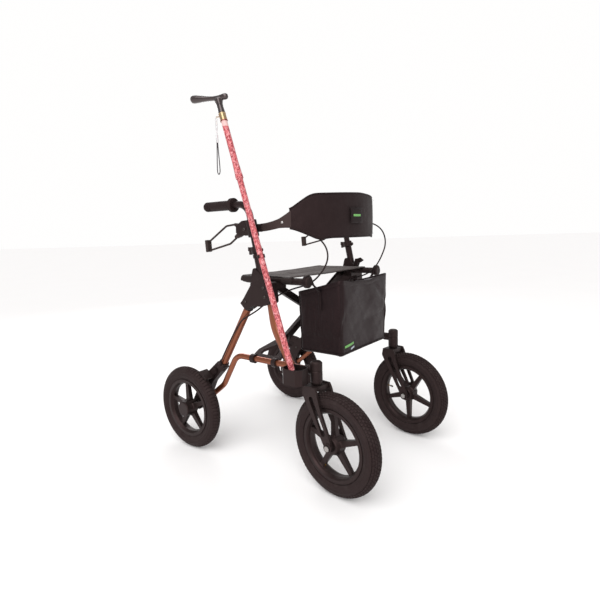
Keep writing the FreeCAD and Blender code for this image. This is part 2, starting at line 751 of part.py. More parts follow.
def front_wheel(side_name, side):
    """Tyre, rim and axle of one caster."""
    centre = Placement(Vector(0, -dim("caster_lead"), dim("front_wheel_radius")), Rotation())
    place = on_caster(side).multiply(centre)
    bore = dim("bearing_radius") + dim("running_gap")
    hub = [(24, 22, 4), (24, bore), (-24, bore), (-24, 22, 4)]
    node(tyre("front_tyre_" + side_name, dim("front_wheel_radius"), dim("front_tyre_width"),
              103.5, 17.2, place), "front_tyre_" + side_name)
    node(rim("front_rim_" + side_name, hub, 17.4, 95.0, 103.0, FRONT_SPOKES[side], place),
         "front_rim_" + side_name)
    node(front_axle("front_axle_" + side_name, place), "front_axle_" + side_name)


def rear_wheel(side_name, side):
    """Tyre, rim with its closed hub cap, and stub axle of one rear wheel."""
    centre = Vector(side * dim("rear_half_track"), dim("rear_axle_y"), dim("rear_wheel_radius"))
    place = Placement(centre, Rotation(Vector(0, 0, 1), 0 if side > 0 else 180))
    bore = dim("bearing_radius") + dim("running_gap")
    hub = [(22, 27, 5), (32, 27, 2), (34, 24, 2), (34, 0), (29, 0), (29, bore), (-20, bore), (-20, 20, 3)]
    node(tyre("rear_tyre_" + side_name, dim("rear_wheel_radius"), dim("rear_tyre_width"),
              98.5, 14.7, place), "rear_tyre_" + side_name)
    node(rim("rear_rim_" + side_name, hub, 14.9, 90.0, 98.0, REAR_SPOKES[side], place),
         "rear_rim_" + side_name)
    node(rear_axle("rear_axle_" + side_name, place), "rear_axle_" + side_name)


# ---------------------------------------------------------------- seat, brace and bag

def seat_rail(name, side):
    """Round rail with a wide cap in front and a tapered plug behind."""
    radius, cap = dim("rail_radius"), dim("rail_cap_radius")
    place = Vector(side * dim("rail_half_width"), 0, dim("rail_height"))
    return revolve(name, "Y", [
        (0, -188), (cap - 4, -188, 2), (cap, -184, 2), (cap, -173, 3), (radius, -168, 3),
        (radius, 66, 20), (radius - 3, 87, 4), (0, 89)], Placement(place, Rotation()))


def brace_bar(name, foot_side, bar_y):
    """One bar of the X: foot with two rings on the lower tube, bar, and cradle under the rail."""
    foot_x, foot_z = foot_side * dim("frame_half_width"), dim("lower_tube_height")
    run = dim("rail_half_width") + dim("frame_half_width")
    rise = dim("rail_height") - foot_z
    length = math.hypot(run, rise)
    slope = math.degrees(math.atan2(rise, run))
    turn = Rotation(Vector(0, 1, 0), -slope if foot_side < 0 else slope - 180)
    place = Placement(Vector(foot_x, 0, foot_z), turn)
    web = pad(name + "_web", "XY_Plane", [
        outline([(8, -80), (8, 28), (40, 28, 14), (128, bar_y + 7), (128, bar_y - 7), (40, -80, 14)]),
        outline([(22, -60, 5), (22, 8, 5), (40, 8, 5), (76, bar_y + 4, 4), (76, bar_y - 4, 4),
                 (40, -60, 5)])], "foot_thickness")
    beam = pad(name + "_beam", "XZ_Plane", [outline([
        (96, -12, 3), (length - 12, -12, 3), (length - 12, 12, 3), (96, 12, 3)])], "bar_thickness")
    web.Placement = place
    beam.Placement = place.multiply(Placement(Vector(0, bar_y, 0), Rotation()))
    rings = [rod(name + "_ring%d" % i, Vector(foot_x, y - 8, foot_z), Vector(foot_x, y + 8, foot_z),
                 "foot_ring_radius") for i, y in enumerate((-72.0, 20.0))]
    rail_x = -foot_side * dim("rail_half_width")
    low, high = Vector(rail_x, bar_y - 12, 0), Vector(rail_x, bar_y + 12, 0)
    level = Vector(0, 0, dim("rail_height"))
    cradle = rod(name + "_cradle", low + level, high + level, "rail_radius + 4")
    body = fuse(name + "_body", [web, beam, cradle] + rings)
    tube = rod(name + "_tube_bore", Vector(foot_x, -100, foot_z), Vector(foot_x, 50, foot_z),
               "lower_tube_radius + running_gap")
    rail = rod(name + "_rail_bore", low + level + Vector(0, -5, 0), high + level + Vector(0, 5, 0),
               "rail_radius + 0.02")
    above = block(name + "_above", (rail_x - 30, bar_y - 30, dim("rail_height") + 0.5),
                  (rail_x + 30, bar_y + 30, dim("rail_height") + 40))
    pivot = rod(name + "_pivot_bore", brace_centre() + Vector(0, -60, 0),
                brace_centre() + Vector(0, 30, 0), "bolt_radius + running_gap")
    return cut(name, body, [tube, rail, above, pivot])


def brace_centre():
    """Where the two bars cross, on the walker's middle plane."""
    share = dim("frame_half_width") / (dim("rail_half_width") + dim("frame_half_width"))
    rise = dim("rail_height") - dim("lower_tube_height")
    return Vector(0, 0, dim("lower_tube_height") + rise * share)


def brace_bolt(name):
    """Pivot bolt of the X with a round head on each side."""
    radius = dim("bolt_radius")
    return revolve(name, "Y", [
        (0, -48), (8, -48, 1), (8, -41.5), (radius, -41.5), (radius, -10.5), (8, -10.5), (8, -4, 1),
        (0, -4)], Placement(brace_centre(), Rotation()))


def seat(name):
    """Sling between the rails, as a plain board."""
    half, height = dim("rail_half_width") - dim("rail_radius") - 0.6, dim("rail_height")
    return block(name, (-half, dim("seat_front"), height + 3), (half, dim("seat_rear"), height + 7))


def bag(name):
    """Open box of cloth: front wall higher than the back."""
    wall = dim("bag_wall")
    front, back, floor = -257.0, -88.0, 377.0
    outer = pad(name + "_outer", "YZ_Plane", [outline([
        (front, floor, 6), (front, 617, 2), (-171, 594), (back, 574, 2), (back, floor, 6)])], "bag_width")
    inner = pad(name + "_inner", "YZ_Plane", [outline([
        (front + wall, floor + wall), (front + wall, 640), (back - wall, 640),
        (back - wall, floor + wall)])], "bag_width - 2 * bag_wall")
    return cut(name, outer, [inner])


# ---------------------------------------------------------------- backrest

def half_ellipse(half_width, depth):
    """Front half of an ellipse about the backrest's base point, as a closed loop."""
    centre = Vector(0, dim("band_base_y"), 0)
    curve = Part.Ellipse(centre, half_width, depth)
    arc = Part.ArcOfEllipse(curve, math.pi, 2 * math.pi)
    ends = Part.LineSegment(centre + Vector(half_width, 0, 0), centre - Vector(half_width, 0, 0))
    return [arc, ends]


def band(name, thickness, face_loops):
    """A curved wall that follows the ellipse, limited by outlines seen from the front."""
    half = dim(thickness) / 2
    wide, deep = dim("band_half_width"), dim("band_depth")
    solids = []
    for label, grow in (("outer", half), ("inner", -half)):
        face = Part.Face(Part.Wire(Part.__sortEdges__(
            [g.toShape() for g in half_ellipse(wide + grow, deep + grow)])))
        face.translate(Vector(0, 0, 700))
        solids.append(face.extrude(Vector(0, 0, 220)))
    wall = raw(name + "_wall", solids[0].cut(solids[1]))
    faces = [pad(name + "_face%d" % i, "XZ_Plane", [loop], "band_depth * 3")
             for i, loop in enumerate(face_loops)]
    result = doc.addObject("Part::Common", name)
    result.Base = wall
    result.Tool = faces[0] if len(faces) == 1 else fuse(name + "_faces", faces)
    return result


def backrest_cover(name):
    """Padded cloth band behind the user's back."""
    return band(name, "cover_thickness", [outline([
        (-221, 777), (-221, 829), (-182, 872, 14), (-120, 878, 60), (0, 882, 400), (120, 878, 60),
        (182, 872, 14), (221, 829), (221, 777), (168, 743, 14), (130, 747, 60), (-130, 747, 60),
        (-168, 743, 14)])])


def backrest_arms(name):
    """The two plastic ends of the band, from the posts to the cloth."""
    loops = []
    for side in (-1, 1):
        points = [(side * 222, 778, 2), (side * 222, 828, 2), (side * 238, 806, 14),
                  (side * 253, 793), (side * 253, 769), (side * 238, 779, 14)]
        loops.append(outline(points))
    wall = band(name + "_band", "arm_thickness", loops)
    clear = block(name + "_clear", (-300, dim("band_base_y") - 5.6, 700), (300, 100, 900))
    return cut(name, wall, [clear])


# ---------------------------------------------------------------- cane and holder

def on_cane(along):
    """Placement whose Z runs up the cane, at a distance from its foot."""
    return Placement(CANE_FOOT + CANE_DIRECTION * along, Rotation(Vector(0, 0, 1), CANE_DIRECTION))


def cane_length_at(height):
    """Distance along the cane at a height above the floor."""
    return (height - CANE_FOOT.z) / CANE_DIRECTION.z


def cane_tip(name):
    """Rubber ferrule with a wide foot."""
    return revolve(name, "Z", [
        (0, 0), (12.5, 0, 2), (12, 9, 1), (10.8, 12), (10.8, 30, 1.5), (9.1, 30), (9.1, 6), (0, 6)],
        on_cane(0))


def cane_shaft(name):
    """Two-stage tube: the wider upper stage ends in a flared joint ring."""
    bore, low, high = dim("cane_bore_radius"), dim("cane_radius"), dim("cane_upper_radius")
    joint, top = cane_length_at(928), cane_length_at(1115)
    return revolve(name, "Z", [
        (bore, 6.3), (low, 6.3), (low, joint), (11.6, joint, 1), (11.6, joint + 10, 2),
        (11, joint + 14), (high, joint + 52, 60), (high, top), (bore, top)], on_cane(0))


def cane_collar(name):
    """Brass collar between shaft and handle, with an eye for the wrist strap."""
    start, end = cane_length_at(1103), cane_length_at(1126)
    ring = revolve(name + "_ring", "Z", [
        (9.45, start), (11.2, start, 0.8), (11.2, start + 4), (10.6, start + 5), (10.6, end - 3),
        (11.4, end - 2, 0.8), (11.4, end), (9.45, end)], on_cane(0))
    centre = CANE_FOOT + CANE_DIRECTION * (end - 9)
    stub = rod(name + "_stub", centre + Vector(-3.8, 9, 0), STRAP_TOP + Vector(0, 0, 1.0), "strap_radius")
    return fuse(name, [ring, stub])


STRAP_TOP = Vector(-297.0, 91.0, 1117.0)


def cane_handle(name):
    """T-shaped handle: a swelling bar on a neck, its plug inside the collar."""
    turn = math.radians(CANE_HANDLE_TURN)
    direction = Vector(-math.sin(turn), math.cos(turn), 0)
    neck_top = CANE_FOOT + CANE_DIRECTION * cane_length_at(CANE_HANDLE_Z - 2)
    bar_place = Placement(neck_top + Vector(0, 0, 2), Rotation(Vector(0, 1, 0), direction))
    bar_body = revolve(name + "_bar", "Y", [
        (0, -34), (7, -34, 3), (8.8, -22, 12), (7, 2, 30), (7.6, 36, 60), (10.4, 72, 30),
        (10.6, 88, 5), (7, 94, 3), (0, 94)], bar_place)
    plug = rod(name + "_plug", CANE_FOOT + CANE_DIRECTION * cane_length_at(1115.3),
               CANE_FOOT + CANE_DIRECTION * cane_length_at(1128), "cane_radius + 0.4")
    neck = doc.addObject("Part::Cone", name + "_neck")
    start = CANE_FOOT + CANE_DIRECTION * cane_length_at(1126)
    neck.Radius1, neck.Radius2 = 11.0, 8.0
    neck.Height = (neck_top - start).Length
    neck.Placement = Placement(start, Rotation(Vector(0, 0, 1), CANE_DIRECTION))
    return fuse(name, [bar_body, plug, neck])


def cane_cup(name):
    """Open cup with chamfered corners on a bracket beside the right head tube."""
    x_low, x_high, y_low, y_high, chamfer = -326.0, -266.6, -222.0, -150.0, 15.0

    def octagon(inset):
        lx, hx, ly, hy = x_low + inset, x_high - inset, y_low + inset, y_high - inset
        c = chamfer - 0.4 * inset
        return [(lx, ly + c), (lx + c, ly), (hx - c, ly), (hx, ly + c), (hx, hy - c),
                (hx - c, hy), (lx + c, hy), (lx, hy - c)]

    floor, wall = dim("cup_bottom"), dim("cup_wall")
    height = dim("cup_top") - floor
    outer = pad(name + "_outer", "XY_Plane", [outline(octagon(0))], "cup_top - cup_bottom",
                Vector(0, 0, floor + height / 2))
    inner = pad(name + "_inner", "XY_Plane", [outline(octagon(wall))], "cup_top - cup_bottom",
                Vector(0, 0, floor + wall + height / 2))
    ear = block(name + "_ear", (-268, -192, 340), (-261.8, -158, 368))
    return cut(name, fuse(name + "_body", [outer, ear]), [inner])


def cane_clip(name):
    """Spring clip on the right post's sleeve that holds the cane upright."""
    height = 696.0
    at_cane = on_cane(cane_length_at(height))
    ring = revolve(name + "_ring", "Z", [(9.7, -5), (12.2, -5), (12.2, 5), (9.7, 5)], at_cane)
    post = post_axis(-1, height)
    strap = revolve(name + "_band", "Z", [(12.5, -5), (15, -5), (15, 5), (12.5, 5)],
                    on_post(-1, height))
    across = (post - at_cane.Base)
    link = rod(name + "_link", at_cane.Base + across * 0.2, post - across * 0.2, "bolt_radius")
    mouth = block(name + "_mouth", (-6.5, -20, -20), (6.5, 0, 20))
    turn = Rotation(Vector(0, 1, 0), Vector(across.x, across.y, 0))
    mouth.Placement = Placement(at_cane.Base, turn).multiply(mouth.Placement)
    cane = rod(name + "_cane_way", at_cane.Base - CANE_DIRECTION * 15,
               at_cane.Base + CANE_DIRECTION * 15, "cane_upper_radius + 0.3")
    sleeve = rod(name + "_sleeve_way", post_axis(-1, height - 20), post_axis(-1, height + 20),
                 "sleeve_radius + 0.02")
    return cut(name, fuse(name + "_body", [ring, strap, link]), [mouth, cane, sleeve])


def strap_hook(name):
    """Snap hook, link and crimp, hanging in line under the collar's eye."""
    top = STRAP_TOP
    ring = doc.addObject("Part::Torus", name + "_ring")
    ring.Radius1, ring.Radius2 = 3.6, 1.0
    ring.Placement = Placement(top - Vector(0, 0, 6.2), Rotation(Vector(0, 1, 0), 90))
    hook = rod(name + "_hook", top - Vector(0, 0, 36), top - Vector(0, 0, 10.2), "strap_radius + 0.9")
    link = rod(name + "_link", top - Vector(0, 0, 52), top - Vector(0, 0, 36), "strap_radius")
    crimp = rod(name + "_crimp", top - Vector(0, 0, 74), top - Vector(0, 0, 52), "strap_radius + 1.7")
    return fuse(name, [ring, hook, link, crimp])


def strap_points():
    """The hanging loop of the wrist strap, down one strand and up the other."""
    top = STRAP_TOP - Vector(0, 0, 74)
    near = [(-1.6, 0), (-2.4, -22), (-4.6, -52), (-6.0, -80), (-5.2, -90), (0, -95.5), (5.2, -90),
            (6.0, -80), (4.8, -50), (2.6, -22), (1.6, 0)]
    return [top + Vector(0, across, down) for across, down in near]


# ---------------------------------------------------------------- assembly

def fold_latch(name):
    """Finger hook in front of the left post that locks the unfolded frame."""
    y, z = LATCH_PIVOT
    return pad(name, "YZ_Plane", [
        outline([(y + 5, z - 5, 4), (y + 4, z + 6, 4), (y - 12, z + 12, 1), (y - 27, z + 1, 2),
                 (y - 12, z - 8, 4)]),
        hole(y, z, dim("latch_pin_radius") + dim("running_gap"))],
        "latch_width", Vector(dim("post_half_width"), 0, 0))


def build_side(side_name, side):
    """All sub-parts that exist once on each side."""
    makers = (("frame_tube", frame_tube), ("rear_leg", rear_leg), ("upper_housing", upper_housing),
              ("steerer_housing", steerer_housing), ("rear_bracket", rear_bracket),
              ("post_sleeve", post_sleeve), ("clamp_lever", clamp_lever),
              ("handle_tube", handle_tube), ("grip", grip), ("brake_mount", brake_mount),
              ("brake_lever", brake_lever), ("brake_shoe", brake_shoe),
              ("caster_fork", caster_fork), ("seat_rail", seat_rail))
    for label, maker in makers:
        name = label + "_" + side_name
        node(maker(name, side), name)
    front_wheel(side_name, side)
    rear_wheel(side_name, side)
    cable = "brake_cable_" + side_name
    node(cord(cable, cable_points(side), dim("cable_radius")), cable)


def build_shared():
    """Sub-parts that exist once."""
    node(brace_bar("brace_bar_a", -1, -34.0), "brace_bar_a")
    node(brace_bar("brace_bar_b", 1, -18.0), "brace_bar_b")
    makers = (brace_bolt, seat, bag, backrest_cover, backrest_arms, fold_latch, cane_cup,
              cane_clip, cane_tip, cane_shaft, cane_collar, cane_handle, strap_hook)
    for maker in makers:
        node(maker(maker.__name__), maker.__name__)
    node(cord("wrist_strap", strap_points(), dim("strap_radius")), "wrist_strap")


def check():
    """Stop on any failed object or any sub-part that isn't a valid closed solid."""
    doc.recompute()
    for item in doc.Objects:
        if "Invalid" in item.State or "Error" in item.State:
            raise RuntimeError("%s failed: %s" % (item.Name, item.State))
    for item in nodes:
        shape = item.Shape
        if shape.isNull() or not shape.isValid() or not shape.Solids:
            raise RuntimeError("%s has no valid shape" % item.Label)


def write():
    """Write one file per sub-part."""
    os.makedirs("parts", exist_ok=True)
    for item in nodes:
        item.Shape.exportStep("parts/%s.step" % item.Label)
    print("%d sub-parts written" % len(nodes))


for a_name, a_side in SIDES:
    build_side(a_name, a_side)
build_shared()
check()
write()
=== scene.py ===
"""Rollator walker: cloth, tyres, cables, cane and finishes built round the walker's own design.

Lengths are metres, +Z is up, the walker drives towards -Y and the user's right hand is on -X."""
import json
import math

import bmesh
import bpy
import numpy as np
from mathutils import Matrix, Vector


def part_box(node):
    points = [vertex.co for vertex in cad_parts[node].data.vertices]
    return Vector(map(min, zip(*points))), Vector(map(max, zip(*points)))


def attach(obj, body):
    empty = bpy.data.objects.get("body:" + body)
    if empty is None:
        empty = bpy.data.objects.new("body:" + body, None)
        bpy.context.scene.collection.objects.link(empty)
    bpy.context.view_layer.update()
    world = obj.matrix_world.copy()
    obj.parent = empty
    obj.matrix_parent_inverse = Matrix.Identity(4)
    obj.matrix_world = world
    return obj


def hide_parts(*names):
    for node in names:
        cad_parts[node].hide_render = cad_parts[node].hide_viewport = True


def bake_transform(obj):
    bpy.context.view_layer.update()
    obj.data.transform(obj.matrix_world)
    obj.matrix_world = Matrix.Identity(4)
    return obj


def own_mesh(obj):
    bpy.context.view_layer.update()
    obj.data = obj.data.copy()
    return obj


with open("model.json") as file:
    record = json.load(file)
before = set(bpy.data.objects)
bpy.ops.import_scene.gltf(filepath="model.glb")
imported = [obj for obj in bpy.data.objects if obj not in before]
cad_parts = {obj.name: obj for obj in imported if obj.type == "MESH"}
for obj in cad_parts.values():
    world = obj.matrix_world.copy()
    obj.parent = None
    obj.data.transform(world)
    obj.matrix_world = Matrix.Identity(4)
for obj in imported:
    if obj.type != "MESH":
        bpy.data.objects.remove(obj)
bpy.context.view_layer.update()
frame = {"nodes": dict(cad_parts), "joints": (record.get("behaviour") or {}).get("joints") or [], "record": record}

bl_info = {
    "name": "Rollator Walker",
    "version": (1, 0, 0),
    "blender": (4, 5, 0),
    "location": "View3D > Sidebar > Walker",
    "description": "Adds the cloth, tyres, cables, cane and finishes of a rollator walker",
    "category": "Object",
}

JOINTS = {joint["name"]: joint for joint in frame["joints"]}
SIDES = (("right", -1), ("left", 1))
MM = 0.001
UP = np.array([0.0, 0.0, 1.0])


# ------------------------------------------------------------------ places taken from the design

def box(node):
    """A part's lowest and highest corners, to a tenth of a millimetre."""
    return tuple(np.round(np.array(corner, float), 4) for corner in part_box(node))


def middle_of(node):
    """The middle of a part's box, to a tenth of a millimetre."""
    low, high = box(node)
    return np.round((low + high) / 2, 4).tolist()


def joint_place(joint):
    """The point a joint turns about, in the walker's frame."""
    return np.array(joint["pos_m"], float)


def joint_axis(joint):
    """The direction a joint turns round or slides along."""
    vector = np.array(joint["axis"], float)
    return vector / np.linalg.norm(vector)


RAIL_X, _, RAIL_Z = middle_of("seat_rail_left")
POST_X = middle_of("handle_tube_left")[0]
BAG_LOW, BAG_HIGH = box("bag")


# ------------------------------------------------------------------ sizes and colours a user may change

def colour(label, default, description):
    """A colour property with three linear channels."""
    return bpy.props.FloatVectorProperty(name=label, description=description, default=default,
                                         size=3, min=0.0, max=1.0, subtype="COLOR")


def length(label, default, description):
    """A length property in metres."""
    return bpy.props.FloatProperty(name=label, description=description, default=default,
                                   min=0.0, unit="LENGTH", subtype="DISTANCE", precision=4)


class WalkerPaint(bpy.types.PropertyGroup):
    """Colours of the hard parts."""
    copper: colour("Frame copper", (0.215, 0.062, 0.028), "Metallic paint of the side frames")
    plastic: colour("Moulded black", (0.0105, 0.0070, 0.0066), "Castings, housings and clamps")
    anodised: colour("Anodised black", (0.0125, 0.0082, 0.0078), "Posts, forks and brace")
    lever: colour("Lever grey", (0.026, 0.019, 0.0175), "Brake levers and backrest arms")
    cane: colour("Cane pink", (0.62, 0.155, 0.165), "Ground colour of the printed cane")
    cane_flecks: colour("Cane flecks", (0.20, 0.012, 0.022), "Flecks of the printed cane")
    brass: colour("Collar brass", (0.50, 0.37, 0.21), "Collar under the cane's handle")


class WalkerTread(bpy.types.PropertyGroup):
    """Sizes of the pneumatic tyres."""
    depth: length("Tread depth", 0.0022, "Height of the blocks above the grooves")
    front_blocks: bpy.props.IntProperty(name="Front blocks", default=84, min=12,
                                        description="Blocks round a front tyre")
    rear_ribs: bpy.props.IntProperty(name="Rear ribs", default=76, min=12,
                                     description="Ribs round a rear tyre")
    rubber: colour("Rubber", (0.0135, 0.0092, 0.0090), "Colour of the tyres")


class WalkerCloth(bpy.types.PropertyGroup):
    """Sizes and colours of the sewn parts."""
    sag: length("Seat sag", 0.006, "How far the sling hangs between its rails")
    sling: length("Sling thickness", 0.0026, "Thickness of the seat's webbing")
    puff: length("Band padding", 0.0045, "How far the padding may stand out of the band")
    seat_colour: colour("Seat grey", (0.060, 0.047, 0.043), "Woven seat sling")
    bag_colour: colour("Bag black", (0.0066, 0.0036, 0.0044), "Coated nylon of the bag")
    band_colour: colour("Band black", (0.0115, 0.0070, 0.0072), "Knitted cover of the backrest")
    trim_colour: colour("Trim black", (0.0070, 0.0044, 0.0048), "Bindings, hems and straps")


class WalkerCables(bpy.types.PropertyGroup):
    """Sizes of the cords."""
    cable: length("Cable radius", 0.0025, "Outer cover of the brake cables")
    strap: length("Strap radius", 0.0015, "Cord of the cane's wrist strap")


def settings():
    """The scene's property groups, by name."""
    scene = bpy.context.scene
    return scene.walker_paint, scene.walker_tread, scene.walker_cloth, scene.walker_cables


# ------------------------------------------------------------------ shapes

def unit(vectors):
    """Vectors scaled to length one."""
    vectors = np.asarray(vectors, float)
    return vectors / np.linalg.norm(vectors, axis=-1, keepdims=True)


def through(points, steps, closed=False):
    """Smooth line through points: between two of them it is the cubic whose slope at each point is
    half the step from its neighbour before to its neighbour after."""
    points = np.asarray(points, float)
    if closed:
        ring = np.vstack([points[-1:], points, points[:2]])
    else:
        ring = np.vstack([2 * points[0] - points[1], points, 2 * points[-1] - points[-2]])
    before, here, after, later = ring[:-3], ring[1:-2], ring[2:-1], ring[3:]
    t = np.linspace(0, 1, steps, endpoint=False)[:, None, None]
    line = here + 0.5 * ((after - before) * t + (2 * before - 5 * here + 4 * after - later) * t ** 2
                         + (3 * here - before - 3 * after + later) * t ** 3)
    line = line.transpose(1, 0, 2).reshape(-1, points.shape[1])
    return line if closed else np.vstack([line, points[-1:]])


def travelled(grid, axis, wrap):
    """Distance travelled along one direction of a grid of points, as a mean over the other."""
    moved = np.moveaxis(grid, axis, 0)
    if wrap:
        moved = np.concatenate([moved, moved[:1]])
    steps = np.linalg.norm(np.diff(moved, axis=0), axis=2).mean(axis=1)
    return np.concatenate([[0.0], np.cumsum(steps)])


def surface(name, grid, wrap_rows=False, wrap_columns=False, caps=False, crease=40):
    """Mesh of quads through a grid of points, rows by columns, with its own UV map in metres.
    A wrapped direction joins its last points to its first. Caps close the first and last rows,
    each with a fan about its middle. Edges sharper than the crease angle stay sharp."""
    rows, columns = grid.shape[:2]
    i, j = np.meshgrid(np.arange(rows if wrap_rows else rows - 1),
                       np.arange(columns if wrap_columns else columns - 1), indexing="ij")
    i, j = i.ravel(), j.ravel()
    down, right = (i + 1) % rows, (j + 1) % columns
    faces = np.stack([i * columns + j, down * columns + j, down * columns + right,
                      i * columns + right], axis=1).tolist()
    along, across = travelled(grid, 0, wrap_rows), travelled(grid, 1, wrap_columns)
    uv = np.stack([across[j], along[i], across[j], along[i + 1], across[j + 1], along[i + 1],
                   across[j + 1], along[i]], axis=1).reshape(-1, 2)
    vertices = grid.reshape(-1, 3)
    if caps:
        first = np.arange(columns)
        second = (first + 1) % columns
        middle = len(vertices)
        last = (rows - 1) * columns
        faces += np.stack([np.full(columns, middle), second, first], axis=1).tolist()
        faces += np.stack([np.full(columns, middle + 1), last + first, last + second], axis=1).tolist()
        vertices = np.vstack([vertices, grid[0].mean(axis=0), grid[-1].mean(axis=0)])
        uv = np.vstack([uv, np.tile([[0.0, 0.0], [0.002, 0.0], [0.0, 0.002]], (2 * columns, 1))])
    mesh = bpy.data.meshes.new(name)
    mesh.from_pydata(vertices.tolist(), [], faces)
    layer = mesh.uv_layers.new(name="Cloth")
    layer.data.foreach_set("uv", uv.ravel())
    tidy_normals(mesh)
    mesh.shade_smooth()
    mesh.set_sharp_from_angle(angle=math.radians(crease))
    return mesh


def tidy_normals(mesh):
    """Turns all faces outwards."""
    shape = bmesh.new()
    shape.from_mesh(mesh)
    bmesh.ops.recalc_face_normals(shape, faces=shape.faces)
    shape.to_mesh(mesh)
    shape.free()


def joined(name, meshes):
    """One mesh out of several, each left where it is."""
    shape = bmesh.new()
    for mesh in meshes:
        shape.from_mesh(mesh)
        bpy.data.meshes.remove(mesh)
    whole = bpy.data.meshes.new(name)
    shape.to_mesh(whole)
    shape.free()
    return whole


def carried(path, section, reference):
    """Grid of a section carried along a path. The section's first number goes along the reference
    direction made square to the path, its second along the direction square to both."""
    path = np.asarray(path, float)
    ahead = unit(np.gradient(path, axis=0))
    reference = np.broadcast_to(np.asarray(reference, float), path.shape)
    side = unit(reference - ahead * (reference * ahead).sum(axis=1, keepdims=True))
    other = np.cross(ahead, side)
    section = np.broadcast_to(section, (len(path),) + np.asarray(section).shape[-2:])
    return (path[:, None] + section[..., :1] * side[:, None] + section[..., 1:] * other[:, None])


def ring_section(radius, sides):
    """Points round a circle, or an ellipse where radius is a pair."""
    angle = np.linspace(0, 2 * math.pi, sides, endpoint=False)
    wide, high = np.broadcast_to(radius, 2)
    return np.stack([wide * np.cos(angle), high * np.sin(angle)], axis=1)


def turned(profile, centre, axle, steps):
    """Grid of a profile of (distance along the axle, radius) turned once round the axle."""
    axle = unit(axle)
    across = unit(np.cross(axle, UP if abs(axle[2]) < 0.9 else np.array([1.0, 0.0, 0.0])))
    third = np.cross(axle, across)
    angle = np.linspace(0, 2 * math.pi, steps, endpoint=False)[:, None, None]
    profile = np.broadcast_to(profile, (steps,) + np.asarray(profile).shape[-2:])
    return (np.asarray(centre) + profile[..., :1] * axle
            + profile[..., 1:] * (np.cos(angle) * across + np.sin(angle) * third))


def smooth_step(low, high, x):
    """0 below low, 1 above high and the cubic 3t^2 - 2t^3 between them."""
    t = np.clip((x - low) / (high - low), 0, 1)
    return t * t * (3 - 2 * t)


def put_piece(name, mesh, material, body=None, replaces=()):
    """Links a mesh as a finished piece that rides on a body."""
    item = bpy.data.objects.new(name, mesh)
    bpy.context.scene.collection.objects.link(item)
    if not mesh.materials:
        mesh.materials.append(material)
    if body:
        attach(item, body)
    if replaces:
        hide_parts(*replaces)
    return item


# ------------------------------------------------------------------ shader groups

def put(tree, kind, inputs=None, **values):
    """A node with its settings; each input is given a number or the socket that feeds it."""
    made = tree.nodes.new(kind)
    for label, value in values.items():
        setattr(made, label, value)
    for key, value in (inputs or {}).items():
        if isinstance(value, bpy.types.NodeSocket):
            tree.links.new(value, made.inputs[key])
        else:
            made.inputs[key].default_value = value
    return made


def calc(tree, operation, first, second=0.0, third=0.0):
    """The result of a Math node."""
    return put(tree, "ShaderNodeMath", {0: first, 1: second, 2: third}, operation=operation).outputs[0]


def mixed(tree, factor, first, second):
    """A colour mixed between two by a factor."""
    made = put(tree, "ShaderNodeMix", {0: factor}, data_type="RGBA")
    for key, value in ((6, first), (7, second)):
        if isinstance(value, bpy.types.NodeSocket):
            tree.links.new(value, made.inputs[key])
        else:
            made.inputs[key].default_value = (*value[:3], 1.0)
    return made.outputs[2]


def ranged(tree, value, low, high, new_low, new_high):
    """A value moved from one range to another and held inside it."""
    return put(tree, "ShaderNodeMapRange", {0: value, 1: low, 2: high, 3: new_low, 4: new_high}).outputs[0]


def group(name, inputs, outputs):
    """An empty shader node group with named sockets."""
    tree = bpy.data.node_groups.new(name, "ShaderNodeTree")
    for label, kind, default in inputs:
        socket = tree.interface.new_socket(label, in_out="INPUT", socket_type="NodeSocket" + kind)
        if default is not None:
            socket.default_value = default
    for label, kind in outputs:
        tree.interface.new_socket(label, in_out="OUTPUT", socket_type="NodeSocket" + kind)
    return tree, tree.nodes.new("NodeGroupInput").outputs, tree.nodes.new("NodeGroupOutput").inputs


def grain_group():
    """Moulded grain: fine noise as Height, and slow, cloudy noise as Tone."""
    tree, given, result = group("Moulded grain", [("Vector", "Vector", None), ("Scale", "Float", 900.0)],
                                [("Height", "Float"), ("Tone", "Float")])
    fine = put(tree, "ShaderNodeTexNoise", {"Vector": given["Vector"], "Scale": given["Scale"],
                                            "Detail": 3.0, "Roughness": 0.6})
    slow = put(tree, "ShaderNodeTexNoise", {"Vector": given["Vector"],
                                            "Scale": calc(tree, "MULTIPLY", given["Scale"], 0.022),
                                            "Detail": 4.0, "Roughness": 0.55})
    tree.links.new(fine.outputs["Fac"], result["Height"])
    tree.links.new(ranged(tree, slow.outputs["Fac"], 0.3, 0.7, 0.0, 1.0), result["Tone"])
    return tree


